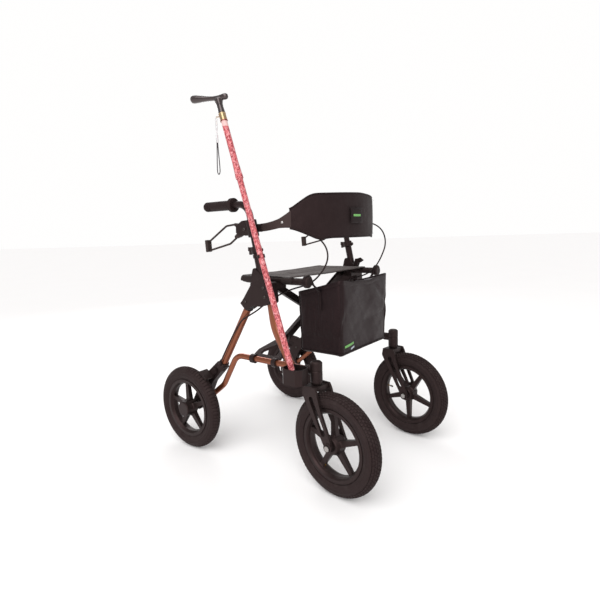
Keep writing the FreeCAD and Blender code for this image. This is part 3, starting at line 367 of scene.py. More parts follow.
def weave_group():
    """Plain weave: Height is the product of two sines, one per thread direction, with a little
    noise; Thread is which of the two lies on top; Tone is slow, cloudy noise."""
    tree, given, result = group("Plain weave", [("Vector", "Vector", None), ("Pitch", "Float", 0.0012)],
                                [("Height", "Float"), ("Thread", "Float"), ("Tone", "Float")])
    split = put(tree, "ShaderNodeSeparateXYZ", {0: given["Vector"]}).outputs
    turns = calc(tree, "DIVIDE", 2 * math.pi, given["Pitch"])
    warp = calc(tree, "SINE", calc(tree, "MULTIPLY", split[0], turns))
    weft = calc(tree, "SINE", calc(tree, "MULTIPLY", split[1], turns))
    crossing = calc(tree, "MULTIPLY", warp, weft)
    fuzz = put(tree, "ShaderNodeTexNoise", {"Vector": given["Vector"], "Scale": 2600.0, "Detail": 2.0})
    cloud = put(tree, "ShaderNodeTexNoise", {"Vector": given["Vector"], "Scale": 22.0, "Detail": 5.0,
                                             "Roughness": 0.6})
    height = calc(tree, "MULTIPLY_ADD", crossing, 0.35, calc(tree, "MULTIPLY", fuzz.outputs["Fac"], 0.6))
    tree.links.new(height, result["Height"])
    tree.links.new(ranged(tree, crossing, -0.6, 0.6, 0.0, 1.0), result["Thread"])
    tree.links.new(ranged(tree, cloud.outputs["Fac"], 0.32, 0.68, 0.0, 1.0), result["Tone"])
    return tree


def dust_group():
    """Dust: gathers on faces that look up, broken by noise."""
    tree, given, result = group("Settled dust", [("Vector", "Vector", None), ("Amount", "Float", 0.3)],
                                [("Mask", "Float")])
    facing = put(tree, "ShaderNodeNewGeometry").outputs["Normal"]
    upward = put(tree, "ShaderNodeSeparateXYZ", {0: facing}).outputs[2]
    noise = put(tree, "ShaderNodeTexNoise", {"Vector": given["Vector"], "Scale": 46.0, "Detail": 6.0,
                                             "Roughness": 0.7})
    lying = ranged(tree, upward, 0.1, 1.0, 0.15, 1.0)
    patchy = ranged(tree, noise.outputs["Fac"], 0.42, 0.72, 0.0, 1.0)
    mask = calc(tree, "MULTIPLY", calc(tree, "MULTIPLY", lying, patchy), given["Amount"])
    tree.links.new(mask, result["Mask"])
    return tree


def wear_group():
    """Wear: thin scuffs where stretched noise crosses its middle value."""
    tree, given, result = group("Scuffs", [("Vector", "Vector", None), ("Amount", "Float", 0.5)],
                                [("Mask", "Float")])
    stretched = put(tree, "ShaderNodeMapping", {"Vector": given["Vector"], "Scale": (1.0, 0.35, 0.5),
                                                "Rotation": (0.4, 0.9, 0.3)})
    noise = put(tree, "ShaderNodeTexNoise", {"Vector": stretched.outputs[0], "Scale": 120.0,
                                             "Detail": 7.0, "Roughness": 0.75})
    distance = calc(tree, "ABSOLUTE", calc(tree, "SUBTRACT", noise.outputs["Fac"], 0.5))
    line = ranged(tree, distance, 0.0, 0.012, 1.0, 0.0)
    patch = put(tree, "ShaderNodeTexNoise", {"Vector": given["Vector"], "Scale": 17.0, "Detail": 2.0})
    where = ranged(tree, patch.outputs["Fac"], 0.55, 0.7, 0.0, 1.0)
    tree.links.new(calc(tree, "MULTIPLY", calc(tree, "MULTIPLY", line, where), given["Amount"]),
                   result["Mask"])
    return tree


GROUPS = {}


def shared(name):
    """A shared node group, built the first time it is asked for."""
    if name not in GROUPS:
        GROUPS[name] = {"grain": grain_group, "weave": weave_group, "dust": dust_group,
                        "wear": wear_group}[name]()
    return GROUPS[name]


def use(tree, name, **inputs):
    """A shared group placed in a material, with its own values."""
    return put(tree, "ShaderNodeGroup", inputs, node_tree=shared(name)).outputs


# ------------------------------------------------------------------ materials

MATERIALS = {}
# Highlights on the dark finishes are a little warm, and dust is a pale warm grey.
WARM_HIGHLIGHT = (1.0, 0.66, 0.66, 1.0)
DUST = (0.16, 0.135, 0.125)


def bare(name, tint, **fixed):
    """A Principled material with fixed socket values; returns it with its tree and shader."""
    material = bpy.data.materials.new(name)
    material.use_nodes = True
    tree = material.node_tree
    tree.nodes.clear()
    shader = put(tree, "ShaderNodeBsdfPrincipled", {"Base Color": (*tint, 1.0),
                                                    "Specular Tint": WARM_HIGHLIGHT})
    for label, value in fixed.items():
        shader.inputs[label.replace("_", " ")].default_value = value
    put(tree, "ShaderNodeOutputMaterial", {"Surface": shader.outputs["BSDF"]})
    material.diffuse_color = (*tint, 1.0)
    MATERIALS[name] = material
    return material, tree, shader


def place(tree):
    """The piece's own object coordinates."""
    return put(tree, "ShaderNodeTexCoord").outputs["Object"]


def bump(tree, shader, height, distance, strength=1.0):
    """Feeds a height to the shader's normal."""
    made = put(tree, "ShaderNodeBump", {"Height": height, "Distance": distance, "Strength": strength})
    tree.links.new(made.outputs["Normal"], shader.inputs["Normal"])


def lighter(tint, share):
    """A colour moved towards that of dust."""
    return tuple(c + (d - c) * share for c, d in zip(tint, DUST))


def moulded(name, tint, roughness=0.5, scale=900.0, depth=0.00012, dust=0.35):
    """Injection-moulded plastic with a fine grain, faint clouding, scuffs and dust."""
    material, tree, shader = bare(name, tint, IOR=1.47, Specular_IOR_Level=0.32)
    spot = place(tree)
    grain = use(tree, "grain", Vector=spot, Scale=scale)
    dusty = use(tree, "dust", Vector=spot, Amount=dust)
    scuffed = use(tree, "wear", Vector=spot, Amount=0.6)
    body = mixed(tree, grain["Tone"], [c * 0.86 for c in tint], [c * 1.16 for c in tint])
    body = mixed(tree, scuffed["Mask"], body, lighter(tint, 0.25))
    body = mixed(tree, dusty["Mask"], body, lighter(tint, 0.30))
    tree.links.new(body, shader.inputs["Base Color"])
    rough = ranged(tree, grain["Tone"], 0.0, 1.0, roughness - 0.06, roughness + 0.08)
    tree.links.new(calc(tree, "MULTIPLY_ADD", dusty["Mask"], 0.25, rough), shader.inputs["Roughness"])
    bump(tree, shader, grain["Height"], depth)
    return material


def painted(name, tint, flake):
    """Metallic paint: flakes that shift in tone, orange-peel bump and a clear coat."""
    material, tree, shader = bare(name, tint, Coat_Weight=0.4, Coat_Roughness=0.10, Metallic=0.85,
                                  Roughness=0.34)
    spot = place(tree)
    sparkle = put(tree, "ShaderNodeTexVoronoi", {"Vector": spot, "Scale": 2400.0})
    tone = put(tree, "ShaderNodeSeparateColor", {0: sparkle.outputs["Color"]}).outputs[0]
    slow = use(tree, "grain", Vector=spot, Scale=420.0)
    body = mixed(tree, ranged(tree, tone, 0.0, 1.0, 0.0, 0.5), tint, flake)
    body = mixed(tree, ranged(tree, slow["Tone"], 0.0, 1.0, 0.0, 0.25), body, [c * 0.6 for c in tint])
    scuffed = use(tree, "wear", Vector=spot, Amount=0.45)
    body = mixed(tree, scuffed["Mask"], body, lighter(tint, 0.4))
    tree.links.new(body, shader.inputs["Base Color"])
    tree.links.new(ranged(tree, slow["Tone"], 0.0, 1.0, 0.28, 0.40), shader.inputs["Roughness"])
    bump(tree, shader, slow["Height"], 0.00006)
    return material


def rubbery(name, tint, roughness, depth, dust):
    """Black rubber, slightly brown with road dust."""
    material, tree, shader = bare(name, tint, IOR=1.5, Specular_IOR_Level=0.28)
    spot = place(tree)
    grain = use(tree, "grain", Vector=spot, Scale=700.0)
    dusty = use(tree, "dust", Vector=spot, Amount=dust)
    body = mixed(tree, grain["Tone"], [c * 0.82 for c in tint], [c * 1.25 for c in tint])
    body = mixed(tree, dusty["Mask"], body, lighter(tint, 0.35))
    tree.links.new(body, shader.inputs["Base Color"])
    tree.links.new(ranged(tree, grain["Tone"], 0.0, 1.0, roughness - 0.08, roughness + 0.1),
                   shader.inputs["Roughness"])
    bump(tree, shader, grain["Height"], depth)
    return material


def metallic(name, tint, roughness, brushed):
    """Bare metal, brushed round or along by stretched noise."""
    material, tree, shader = bare(name, tint, Metallic=1.0)
    spot = place(tree)
    stretched = put(tree, "ShaderNodeMapping", {"Vector": spot, "Scale": (1.0, 1.0, brushed)})
    lines = put(tree, "ShaderNodeTexNoise", {"Vector": stretched.outputs[0], "Scale": 300.0, "Detail": 5.0})
    tone = use(tree, "grain", Vector=spot, Scale=800.0)["Tone"]
    tree.links.new(mixed(tree, tone, [c * 0.85 for c in tint], [min(1.0, c * 1.1) for c in tint]),
                   shader.inputs["Base Color"])
    tree.links.new(ranged(tree, lines.outputs["Fac"], 0.3, 0.7, roughness - 0.06, roughness + 0.1),
                   shader.inputs["Roughness"])
    bump(tree, shader, lines.outputs["Fac"], 0.00002)
    return material


def woven(name, tint, pitch, depth, roughness, sheen, contrast=0.25, edge=None):
    """Cloth on its own UV map: crossing threads, slow cloudy changes of tone and a soft sheen. Past an edge, given
    as a distance to either side of the middle, the cloth is painted much darker, as painted shade on its sides."""
    material, tree, shader = bare(name, tint, Sheen_Weight=sheen, Sheen_Roughness=0.45,
                                  Specular_IOR_Level=0.25)
    flat = put(tree, "ShaderNodeUVMap", uv_map="Cloth").outputs["UV"]
    threads = use(tree, "weave", Vector=flat, Pitch=pitch)
    dusty = use(tree, "dust", Vector=place(tree), Amount=0.22)
    body = mixed(tree, threads["Thread"], [c * (1 - contrast) for c in tint],
                 [c * (1 + contrast) for c in tint])
    body = mixed(tree, ranged(tree, threads["Tone"], 0.0, 1.0, 0.0, 0.35), body, [c * 0.7 for c in tint])
    body = mixed(tree, dusty["Mask"], body, lighter(tint, 0.3))
    # Painted shade: past the edge the colour drops to 0.22 of the tint, standing in for the shade on the cloth's
    # sides.
    if edge:
        far = calc(tree, "ABSOLUTE", put(tree, "ShaderNodeSeparateXYZ", {0: place(tree)}).outputs[0])
        body = mixed(tree, ranged(tree, far, edge, edge + 0.0008, 0.0, 1.0), body,
                     [c * 0.22 for c in tint])
    tree.links.new(body, shader.inputs["Base Color"])
    tree.links.new(ranged(tree, threads["Tone"], 0.0, 1.0, roughness - 0.07, roughness + 0.07),
                   shader.inputs["Roughness"])
    bump(tree, shader, threads["Height"], depth)
    return material


def cane_print(name, tint, flecks):
    """Printed cane: pale clouds and dark flecks of two sizes over pink, under clear lacquer, and a
    plain pale band below the collar."""
    material, tree, shader = bare(name, tint, Coat_Weight=0.25, Coat_Roughness=0.2, Roughness=0.5,
                                  Specular_IOR_Level=0.3)
    spot = put(tree, "ShaderNodeMapping", {"Vector": place(tree), "Scale": (1.0, 1.0, 0.7)}).outputs[0]
    blots = put(tree, "ShaderNodeTexNoise", {"Vector": spot, "Scale": 190.0, "Detail": 2.0,
                                             "Roughness": 0.6, "Distortion": 0.8})
    specks = put(tree, "ShaderNodeTexNoise", {"Vector": spot, "Scale": 420.0, "Detail": 1.0})
    pale = put(tree, "ShaderNodeTexNoise", {"Vector": spot, "Scale": 130.0, "Detail": 2.0})
    body = mixed(tree, ranged(tree, pale.outputs["Fac"], 0.5, 0.62, 0.0, 0.8), tint, (0.78, 0.36, 0.37))
    body = mixed(tree, ranged(tree, blots.outputs["Fac"], 0.52, 0.57, 0.0, 0.85), body, flecks)
    body = mixed(tree, ranged(tree, specks.outputs["Fac"], 0.58, 0.64, 0.0, 0.8), body, flecks)
    high = put(tree, "ShaderNodeSeparateXYZ", {0: place(tree)}).outputs[2]
    pale_from, pale_to, fade = 1.0865, 1.1045, 0.0012
    band = calc(tree, "MULTIPLY", ranged(tree, high, pale_from, pale_from + fade, 0.0, 1.0),
                ranged(tree, high, pale_to - fade, pale_to, 1.0, 0.0))
    body = mixed(tree, band, body, (0.72, 0.46, 0.44))
    tree.links.new(body, shader.inputs["Base Color"])
    bump(tree, shader, blots.outputs["Fac"], 0.00008)
    return material


def glossy(name, tint):
    """Polished plastic with a faint marbling."""
    material, tree, shader = bare(name, tint, Coat_Weight=1.0, Coat_Roughness=0.04, IOR=1.5)
    tone = use(tree, "grain", Vector=place(tree), Scale=500.0)
    tree.links.new(mixed(tree, tone["Tone"], [c * 0.7 for c in tint], [c * 1.5 for c in tint]),
                   shader.inputs["Base Color"])
    tree.links.new(ranged(tree, tone["Tone"], 0.0, 1.0, 0.12, 0.24), shader.inputs["Roughness"])
    bump(tree, shader, tone["Height"], 0.00001)
    return material


def make_materials():
    """All finishes, one per slot of the design plus the sewn trims."""
    paint, tread, cloth, _ = settings()
    # Paint: colour and flakes.
    painted("copper_paint", tuple(paint.copper), (0.40, 0.14, 0.065))
    painted("ring_red", (0.22, 0.01, 0.02), (0.4, 0.03, 0.04))
    # Plastic: colour, roughness, scale and depth of the grain, amount of dust.
    moulded("black_plastic", tuple(paint.plastic), 0.47, 900.0, 0.00012)
    moulded("black_anodised", tuple(paint.anodised), 0.40, 1500.0, 0.00004, 0.25)
    moulded("grey_plastic", tuple(paint.lever), 0.45, 800.0, 0.00012)
    moulded("rim_plastic", tuple(paint.plastic), 0.40, 700.0, 0.00008, 0.3)
    moulded("thread", (0.026, 0.019, 0.019), 0.7, 2500.0, 0.00004, 0.2)
    glossy("gloss_black", (0.012, 0.0085, 0.0085))
    # Rubber: colour, roughness, depth of the grain, amount of dust.
    rubbery("grip_rubber", tuple(paint.plastic), 0.62, 0.00014, 0.25)
    rubbery("tyre_rubber", tuple(tread.rubber), 0.68, 0.0002, 0.5)
    rubbery("cable_cover", (0.010, 0.0078, 0.0078), 0.42, 0.00003, 0.15)
    # Metal: colour, roughness and how far the brushing is drawn out.
    metallic("steel", (0.42, 0.40, 0.385), 0.3, 6.0)
    metallic("dark_steel", (0.09, 0.08, 0.075), 0.36, 2.0)
    metallic("chrome", (0.74, 0.74, 0.75), 0.12, 1.0)
    metallic("brass", tuple(paint.brass), 0.2, 1.0)
    # Cloth: colour, pitch and height of the threads, roughness, sheen, contrast of the threads, and for the seat
    # the distance from the middle past which its colour is painted shade.
    woven("seat_fabric", tuple(cloth.seat_colour), 0.0026, 0.00035, 0.62, 0.10, 0.3, RAIL_X + 0.0005)
    woven("bag_fabric", tuple(cloth.bag_colour), 0.0011, 0.00012, 0.46, 0.06, 0.22)
    woven("band_fabric", tuple(cloth.band_colour), 0.0016, 0.0002, 0.66, 0.05, 0.3)
    woven("trim_fabric", tuple(cloth.trim_colour), 0.0018, 0.00025, 0.66, 0.04, 0.35)
    woven("cover_fabric", (0.018, 0.011, 0.016), 0.0010, 0.0001, 0.40, 0.12, 0.2)
    woven("patch_fabric", (0.0055, 0.0042, 0.0044), 0.0009, 0.0001, 0.5, 0.02, 0.2)
    woven("tab_fabric", (0.16, 0.42, 0.12), 0.0008, 0.0001, 0.55, 0.1, 0.2)
    woven("pale_fabric", (0.50, 0.55, 0.62), 0.0008, 0.0001, 0.55, 0.1, 0.2)
    woven("strap_cord", (0.045, 0.042, 0.045), 0.0012, 0.0002, 0.6, 0.1, 0.4)
    cane_print("cane_print", tuple(paint.cane), tuple(paint.cane_flecks))


# ------------------------------------------------------------------ cloth by simulation

def settle(item, pinned, pressure, gravity, cap, frames=20, stiffness=12.0):
    """Runs Blender's cloth on a mesh, moves each point at most the cap towards the result and
    leaves no modifier behind. Pinned is a weight per vertex, 1 where it is held."""
    scene = bpy.context.scene
    pins = item.vertex_groups.new(name="held")
    for weight in np.unique(np.round(pinned, 2)):
        if weight > 0:
            pins.add(np.nonzero(np.round(pinned, 2) == weight)[0].tolist(), float(weight), "REPLACE")
    modifier = item.modifiers.new("Cloth", "CLOTH")
    cloth = modifier.settings
    cloth.quality = 6
    cloth.mass = 0.25
    cloth.tension_stiffness = cloth.compression_stiffness = stiffness
    cloth.shear_stiffness = stiffness * 0.6
    cloth.bending_stiffness = 0.6
    cloth.air_damping = 4.0
    cloth.vertex_group_mass = "held"
    cloth.use_pressure = pressure > 0
    cloth.uniform_pressure_force = pressure
    cloth.effector_weights.gravity = gravity
    modifier.point_cache.frame_start = 1
    modifier.point_cache.frame_end = frames
    for step in range(1, frames + 1):
        scene.frame_set(step)
    result = item.evaluated_get(bpy.context.evaluated_depsgraph_get()).data
    count = len(item.data.vertices)
    start, end = np.empty(count * 3), np.empty(count * 3)
    item.data.vertices.foreach_get("co", start)
    result.vertices.foreach_get("co", end)
    start, move = start.reshape(-1, 3), (end - start).reshape(-1, 3)
    far = np.maximum(np.linalg.norm(move, axis=1, keepdims=True), 1e-9)
    item.modifiers.remove(modifier)
    item.vertex_groups.remove(pins)
    item.data.vertices.foreach_set("co", (start + move * np.minimum(1.0, cap / far)).ravel())
    item.data.update()
    scene.frame_set(1)


# ------------------------------------------------------------------ cords

def spline_line(name, points):
    """Points along the smooth NURBS spline whose control points are given."""
    line = bpy.data.curves.new(name, "CURVE")
    line.dimensions = "3D"
    line.resolution_u = 10
    spline = line.splines.new("NURBS")
    spline.points.add(len(points) - 1)
    spline.points.foreach_set("co", np.hstack([points, np.ones((len(points), 1))]).ravel())
    spline.order_u = 3
    spline.use_endpoint_u = True
    item = bpy.data.objects.new(name, line)
    bpy.context.scene.collection.objects.link(item)
    bpy.context.view_layer.update()
    centre = bpy.data.meshes.new_from_object(item.evaluated_get(bpy.context.evaluated_depsgraph_get()))
    places = np.empty(len(centre.vertices) * 3)
    centre.vertices.foreach_get("co", places)
    bpy.data.meshes.remove(centre)
    bpy.data.objects.remove(item)
    bpy.data.curves.remove(line)
    return places.reshape(-1, 3)


def tube(name, line, radius, reference, sides=14):
    """Round mesh tube along a line."""
    return surface(name, carried(line, ring_section(radius, sides), reference),
                   wrap_columns=True, caps=True)


CABLE_LOOPS = {
    "right": [(-243, -37, 781), (-234, -60, 784), (-218, -94, 788), (-192, -128, 782),
              (-164, -154, 766), (-148, -178, 744), (-148, -200, 722), (-156, -214, 700),
              (-167, -220, 678), (-179, -216, 656), (-187, -204, 636), (-188, -182, 617)],
    "left": [(264, -39, 782), (268, -62, 788), (267, -104, 796), (255, -150, 790),
             (232, -194, 768), (212, -218, 738), (199, -225, 708), (190, -217, 677),
             (186, -203, 648), (186, -182, 622)],
}
CABLE_UNDER = [(185, -150, 602), (189, -104, 590), (196, -62, 574), (207, -26, 552),
               (224, -2, 532), (243, 6, 519), (263, 22, 505), (272.7, 66.1, 478.5),
               (272.7, 156.7, 334.7)]
STRAP_TOP = (-297.0, 91.0, 1043.0)
STRAP_ROUTE = [(-1.6, 0), (-2.4, -22), (-4.6, -52), (-6.0, -80), (-5.2, -90), (0, -95.5),
               (5.2, -90), (6.0, -80), (4.8, -50), (2.6, -22), (1.6, 0)]


# ------------------------------------------------------------------ fabric that folds

def fold_flat(item):
    """Gives the piece a mesh of its own."""
    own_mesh(item)


def thicken(item, thickness, offset=0.0):
    """Gives a sheet its thickness, half on either side, or all of it inwards at an offset of -1."""
    layer = item.modifiers.new("Thickness", "SOLIDIFY")
    layer.thickness, layer.offset = thickness, offset


def points_of(mesh, kind="co"):
    """A mesh's points, or their normals, as rows of three numbers."""
    values = np.empty(len(mesh.vertices) * 3)
    mesh.vertices.foreach_get(kind, values)
    return values.reshape(-1, 3)


def push_out(mesh, heights):
    """Moves a mesh's points along their normals by heights, a function of their places."""
    spots = points_of(mesh)
    spots += points_of(mesh, "normal") * heights(spots)[:, None]
    mesh.vertices.foreach_set("co", spots.ravel())
    mesh.update()


def sewn(name, mesh, material, replaces=()):
    """A piece of the seat or bag: rides with the seat's rails."""
    return put_piece(name, mesh, MATERIALS[material], "seat", replaces)


def stitched(name, line, ahead, out, pitch=0.0045, size=(0.0014, 0.00035)):
    """Row of stitches: flattened diamonds at even distances along a line, each lying ahead on its
    surface. A stitch is the eight-faced hull of its two ends, two flanks, top and underside."""
    line = np.asarray(line, float)
    far = travelled(line[:, None], 0, False)
    spots = np.arange(pitch / 2, far[-1], pitch)
    centre = np.stack([np.interp(spots, far, line[:, k]) for k in range(3)], axis=1)
    ahead = unit(np.stack([np.interp(spots, far, ahead[:, k]) for k in range(3)], axis=1))
    out = unit(np.stack([np.interp(spots, far, out[:, k]) for k in range(3)], axis=1))
    flank = np.cross(ahead, out)
    long, wide = size
    corners = np.stack([centre + ahead * long, centre + flank * wide, centre - ahead * long,
                        centre - flank * wide, centre + out * wide * 1.3, centre - out * wide], axis=1)
    pattern = np.array([[0, 1, 4], [1, 2, 4], [2, 3, 4], [3, 0, 4],
                        [1, 0, 5], [2, 1, 5], [3, 2, 5], [0, 3, 5]])
    faces = (np.arange(len(spots))[:, None, None] * 6 + pattern).reshape(-1, 3)
    mesh = bpy.data.meshes.new(name)
    mesh.from_pydata(corners.reshape(-1, 3).tolist(), [], faces.tolist())
    mesh.uv_layers.new(name="Cloth")
    tidy_normals(mesh)
    return mesh


def wrinkled(points, seed, scales=((9.0, 1.0), (19.0, 0.5), (41.0, 0.25))):
    """Smooth random heights at points: a sum of sines whose directions and phases come from the
    seed, each octave finer and lower than the one before, between about -1 and 1."""
    draw = np.random.default_rng(seed)
    total = np.zeros(points.shape[:-1])
    for frequency, amount in scales:
        for _ in range(4):
            direction = unit(draw.normal(size=3)) * frequency * draw.uniform(0.7, 1.4)
            total += amount * 0.5 * np.sin(2 * math.pi * (points @ direction) + draw.uniform(0, 6.28))
    return total / 1.75


# ------------------------------------------------------------------ operators

class Make(bpy.types.Operator):
    """Base of the walker's operators."""
    bl_idname = "walker.make"
    bl_label = "Make"

    def execute(self, context):
        self.build()
        return {"FINISHED"}

    def build(self):
        """Makes the piece; each operator has its own."""
        raise NotImplementedError(self.bl_idname)


class MakeStage(Make):
    """Floor, soft light and camera."""
    bl_idname = "walker.stage"
    bl_label = "Stage"

    def build(self):
        self.camera()
        self.floor()
        self.lights()

    def camera(self):
        """Looks at the target from an azimuth and elevation, with a slight roll."""
        azimuth, elevation, roll = (math.radians(a) for a in (-52.297, 8.347, -1.628))
        target, distance = np.array([0.00212, 0.0193, 0.52016]), 1.64762
        back = np.array([math.sin(azimuth) * math.cos(elevation),
                         -math.cos(azimuth) * math.cos(elevation), math.sin(elevation)])
        right = np.array([math.cos(azimuth), math.sin(azimuth), 0.0])
        above = np.cross(back, right)
        sideways = math.cos(roll) * right + math.sin(roll) * above
        upright = -math.sin(roll) * right + math.cos(roll) * above
        data = bpy.data.cameras.new("Camera")
        data.lens = 27.017
        data.clip_start, data.clip_end = 0.05, 50.0
        camera = bpy.data.objects.new("Camera", data)
        where = Matrix(np.stack([sideways, upright, back], axis=1).tolist()).to_4x4()
        where.translation = (target + back * distance).tolist()
        camera.matrix_world = where
        bpy.context.scene.collection.objects.link(camera)
        bpy.context.scene.camera = camera

    def floor(self):
        """One wide pale plane at floor level."""
        side = np.linspace(-60, 60, 5)
        x, y = np.meshgrid(side, side, indexing="ij")
        mesh = surface("floor", np.stack([x, y, np.full_like(x, -0.0005)], axis=2))
        material, tree, shader = bare("floor_paper", (0.96, 0.957, 0.955), Roughness=0.9)
        cloud = put(tree, "ShaderNodeTexNoise", {"Vector": place(tree), "Scale": 1.5, "Detail": 2.0})
        tree.links.new(mixed(tree, cloud.outputs["Fac"], (0.95, 0.947, 0.945), (0.97, 0.967, 0.965)),
                       shader.inputs["Base Color"])
        put_piece("floor", mesh, material)

    def lights(self):
        """White backdrop whose light is weaker than it looks, a soft sun and two large lamps."""
        world = bpy.context.scene.world or bpy.data.worlds.new("Studio")
        bpy.context.scene.world = world
        world.use_nodes = True
        tree = world.node_tree
        sky = tree.nodes.get("Background")
        sky.inputs["Color"].default_value = (1.0, 0.995, 0.99, 1.0)
        seen = put(tree, "ShaderNodeLightPath").outputs["Is Camera Ray"]
        tree.links.new(ranged(tree, seen, 0.0, 1.0, 0.62, 1.0), sky.inputs["Strength"])
        for name, kind, power, size, spot, aim in (
                ("key", "SUN", 1.6, math.radians(50), (-2.2, -0.8, 3.6), (0, 0, 0.4)),
                ("side", "AREA", 26, 1.8, (-2.4, -1.4, 1.6), (0, 0, 0.5)),
                ("rim", "AREA", 18, 1.4, (1.6, 2.6, 2.2), (0, 0, 0.6))):
            lamp = bpy.data.lights.new(name, kind)
            lamp.energy = power
            if kind == "SUN":
                lamp.angle = size
            else:
                lamp.size = size
            item = bpy.data.objects.new(name, lamp)
            spot, aim = np.array(spot), np.array(aim)
            back = unit(spot - aim)
            right = unit(np.cross(UP, back))
            where = Matrix(np.stack([right, np.cross(back, right), back], axis=1).tolist()).to_4x4()
            where.translation = spot.tolist()
            item.matrix_world = where
            bpy.context.scene.collection.objects.link(item)
        bpy.context.scene.view_settings.view_transform = "Standard"


class MakeStrap(Make):
    """Wrist strap hanging from the cane's collar."""
    bl_idname = "walker.strap"
    bl_label = "Wrist strap"

    def build(self):
        radius = settings()[3].strap
        top = np.array(STRAP_TOP)
        points = np.array([top + (0.0, across, down) for across, down in STRAP_ROUTE]) * MM
        line = spline_line("strap_line", points)
        mesh = tube("wrist_strap_cord", line, radius, (1, 0, 0), 12)
        item = put_piece("wrist_strap_cord", mesh, MATERIALS["strap_cord"], "cane",
                         ("wrist_strap",))


class MakeCables(Make):
    """Brake cables from the levers to the rear brackets."""
    bl_idname = "walker.cables"
    bl_label = "Brake cables"

    def build(self):
        radius = settings()[3].cable
        for side, sign in SIDES:
            under = [(sign * x, y, z) for x, y, z in CABLE_UNDER]
            points = np.array(CABLE_LOOPS[side] + under) * MM
            line = spline_line("cable_line_" + side, points)
            mesh = tube("cable_" + side, line, radius, (-sign, 1, 0))
            item = put_piece("cable_" + side, mesh, MATERIALS["cable_cover"], None,
                             ("brake_cable_" + side,))
            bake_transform(item)


class MakeFinishes(Make):
    """All finishes, and each one put on the design's own parts."""
    bl_idname = "walker.finishes"
    bl_label = "Finishes"

    def build(self):
        make_materials()
        for part in frame["record"]["subparts"]:
            item = frame["nodes"][part["node"]]
            for finish in item.material_slots:
                finish.material = MATERIALS[part["material_slot"]]


def tyre_section(radius, half, bead, seat, crown):
    """Closed section of a tyre as rows of (distance from the middle, radius), and each row's angle
    from the crown in degrees, 180 where it isn't outside. The outside is an ellipse about a circle
    inside the tread, with two thin ridges on each wall; the inside is the same less the wall."""
    wall, lift = 0.004, 0.0
    middle = radius - crown
    angle = np.radians(np.concatenate([np.linspace(-124, -62, 16), np.linspace(-58, 58, 59),
                                       np.linspace(62, 124, 16)]))
    turn = np.degrees(angle)
    for at in (78.0, 99.0):
        lift = lift + 0.0009 * np.exp(-((np.abs(turn) - at) / 2.2) ** 2)
    x = (half + lift) * np.sin(angle)
    r = middle + (crown + lift) * np.cos(angle)
    foot = np.array([[seat, bead + 0.0075], [seat, bead + 0.0035], [seat, bead],
                     [seat - wall, bead], [seat - wall, bead + 0.0075]])
    inward = np.radians(np.linspace(112, -112, 15))
    hollow = np.stack([(half - wall) * np.sin(inward), middle + (crown - wall) * np.cos(inward)], axis=1)
    mirror = np.array([-1.0, 1.0])
    section = np.vstack([foot[2::-1] * mirror, np.stack([x, r], axis=1), foot, hollow,
                         foot[:2:-1] * mirror])
    label = np.full(len(section), 180.0)
    label[3:3 + len(turn)] = turn
    return section, label


def front_blocks(turn, round_share):
    """1 where a front tyre's rubber stands: blocks in staggered rows, with a narrow groove between
    rows and between blocks, and wider blocks along the shoulders. Both angles are in degrees."""
    row = np.floor((turn + 60) / 17.2)
    across = ((turn + 60) / 17.2) % 1.0
    step = (round_share + 0.5 * (row % 2)) % 1.0
    inside = np.abs(turn) < 60
    return np.where(inside, (across > 0.2) & (step < 0.64), 1.0)


def rear_ribs(turn, round_share):
    """1 where a rear tyre's rubber stands: ribs that run right across the tread."""
    return np.where(np.abs(turn) < 50, round_share < 0.62, 1.0)


class MakeTyres(Make):
    """Pneumatic tyres with block or rib treads."""
    bl_idname = "walker.tyres"
    bl_label = "Tyres"

    def build(self):
        tread = settings()[1]
        kinds = (("front", 0.025, 0.1038, 0.0172, 0.027, tread.front_blocks, front_blocks),
                 ("rear", 0.021, 0.0988, 0.0147, 0.024, tread.rear_ribs, rear_ribs))
        for kind, half, bead, seat, crown, count, pattern in kinds:
            low, high = box(kind + "_tyre_left")
            radius = (high[2] - low[2]) / 2
            section, label = tyre_section(radius, half, bead, seat, crown)
            steps = 6 * count
            share = (np.arange(steps) % 6 / 6.0)[:, None]
            worn = np.where(np.abs(label) < 62, 1.0, 0.0) * (1 - pattern(label[None], share))
            middle = np.array([0.0, radius - crown])
            outward = unit(section - middle)
            profile = section[None] - outward[None] * (worn * tread.depth)[..., None]
            for side, _ in SIDES:
                joint = JOINTS["%s_wheel_spin_%s" % (kind, side)]
                grid = turned(profile, joint_place(joint), joint_axis(joint), steps)
                mesh = surface("tyre", grid, wrap_rows=True, wrap_columns=True, crease=25)
                name = "%s_tyre_%s" % (kind, side)
                put_piece(name + "_rubber", mesh, MATERIALS["tyre_rubber"],
                          "%s_wheel_%s" % (kind, side), (name,))


class MakeValves(Make):
    """Brass valve stems with black caps in the front rims."""
    bl_idname = "walker.valves"
    bl_label = "Valves"

    def build(self):
        stem = np.array([[0, 0.0024], [0.008, 0.0024], [0.008, 0.0029], [0.010, 0.0029],
                         [0.010, 0.0021], [0.022, 0.0021], [0.0225, 0.0]])
        cap = np.array([[0.017, 0.0], [0.017, 0.0032], [0.0255, 0.003], [0.027, 0.002], [0.027, 0.0]])
        for side, degrees in (("right", -118.0), ("left", 172.0)):
            joint = JOINTS["front_wheel_spin_" + side]
            axle = joint_axis(joint)
            across = unit(np.cross(axle, UP))
            inward = -(math.cos(math.radians(degrees)) * across + math.sin(math.radians(degrees)) * UP)
            foot = joint_place(joint) - inward * 0.0975
            for name, profile, material in (("stem", stem, "brass"), ("cap", cap, "black_plastic")):
                mesh = surface(name, turned(profile, foot, inward, 20), wrap_rows=True, crease=30)
                put_piece("valve_%s_%s" % (name, side), mesh, MATERIALS[material],
                          "front_wheel_" + side)


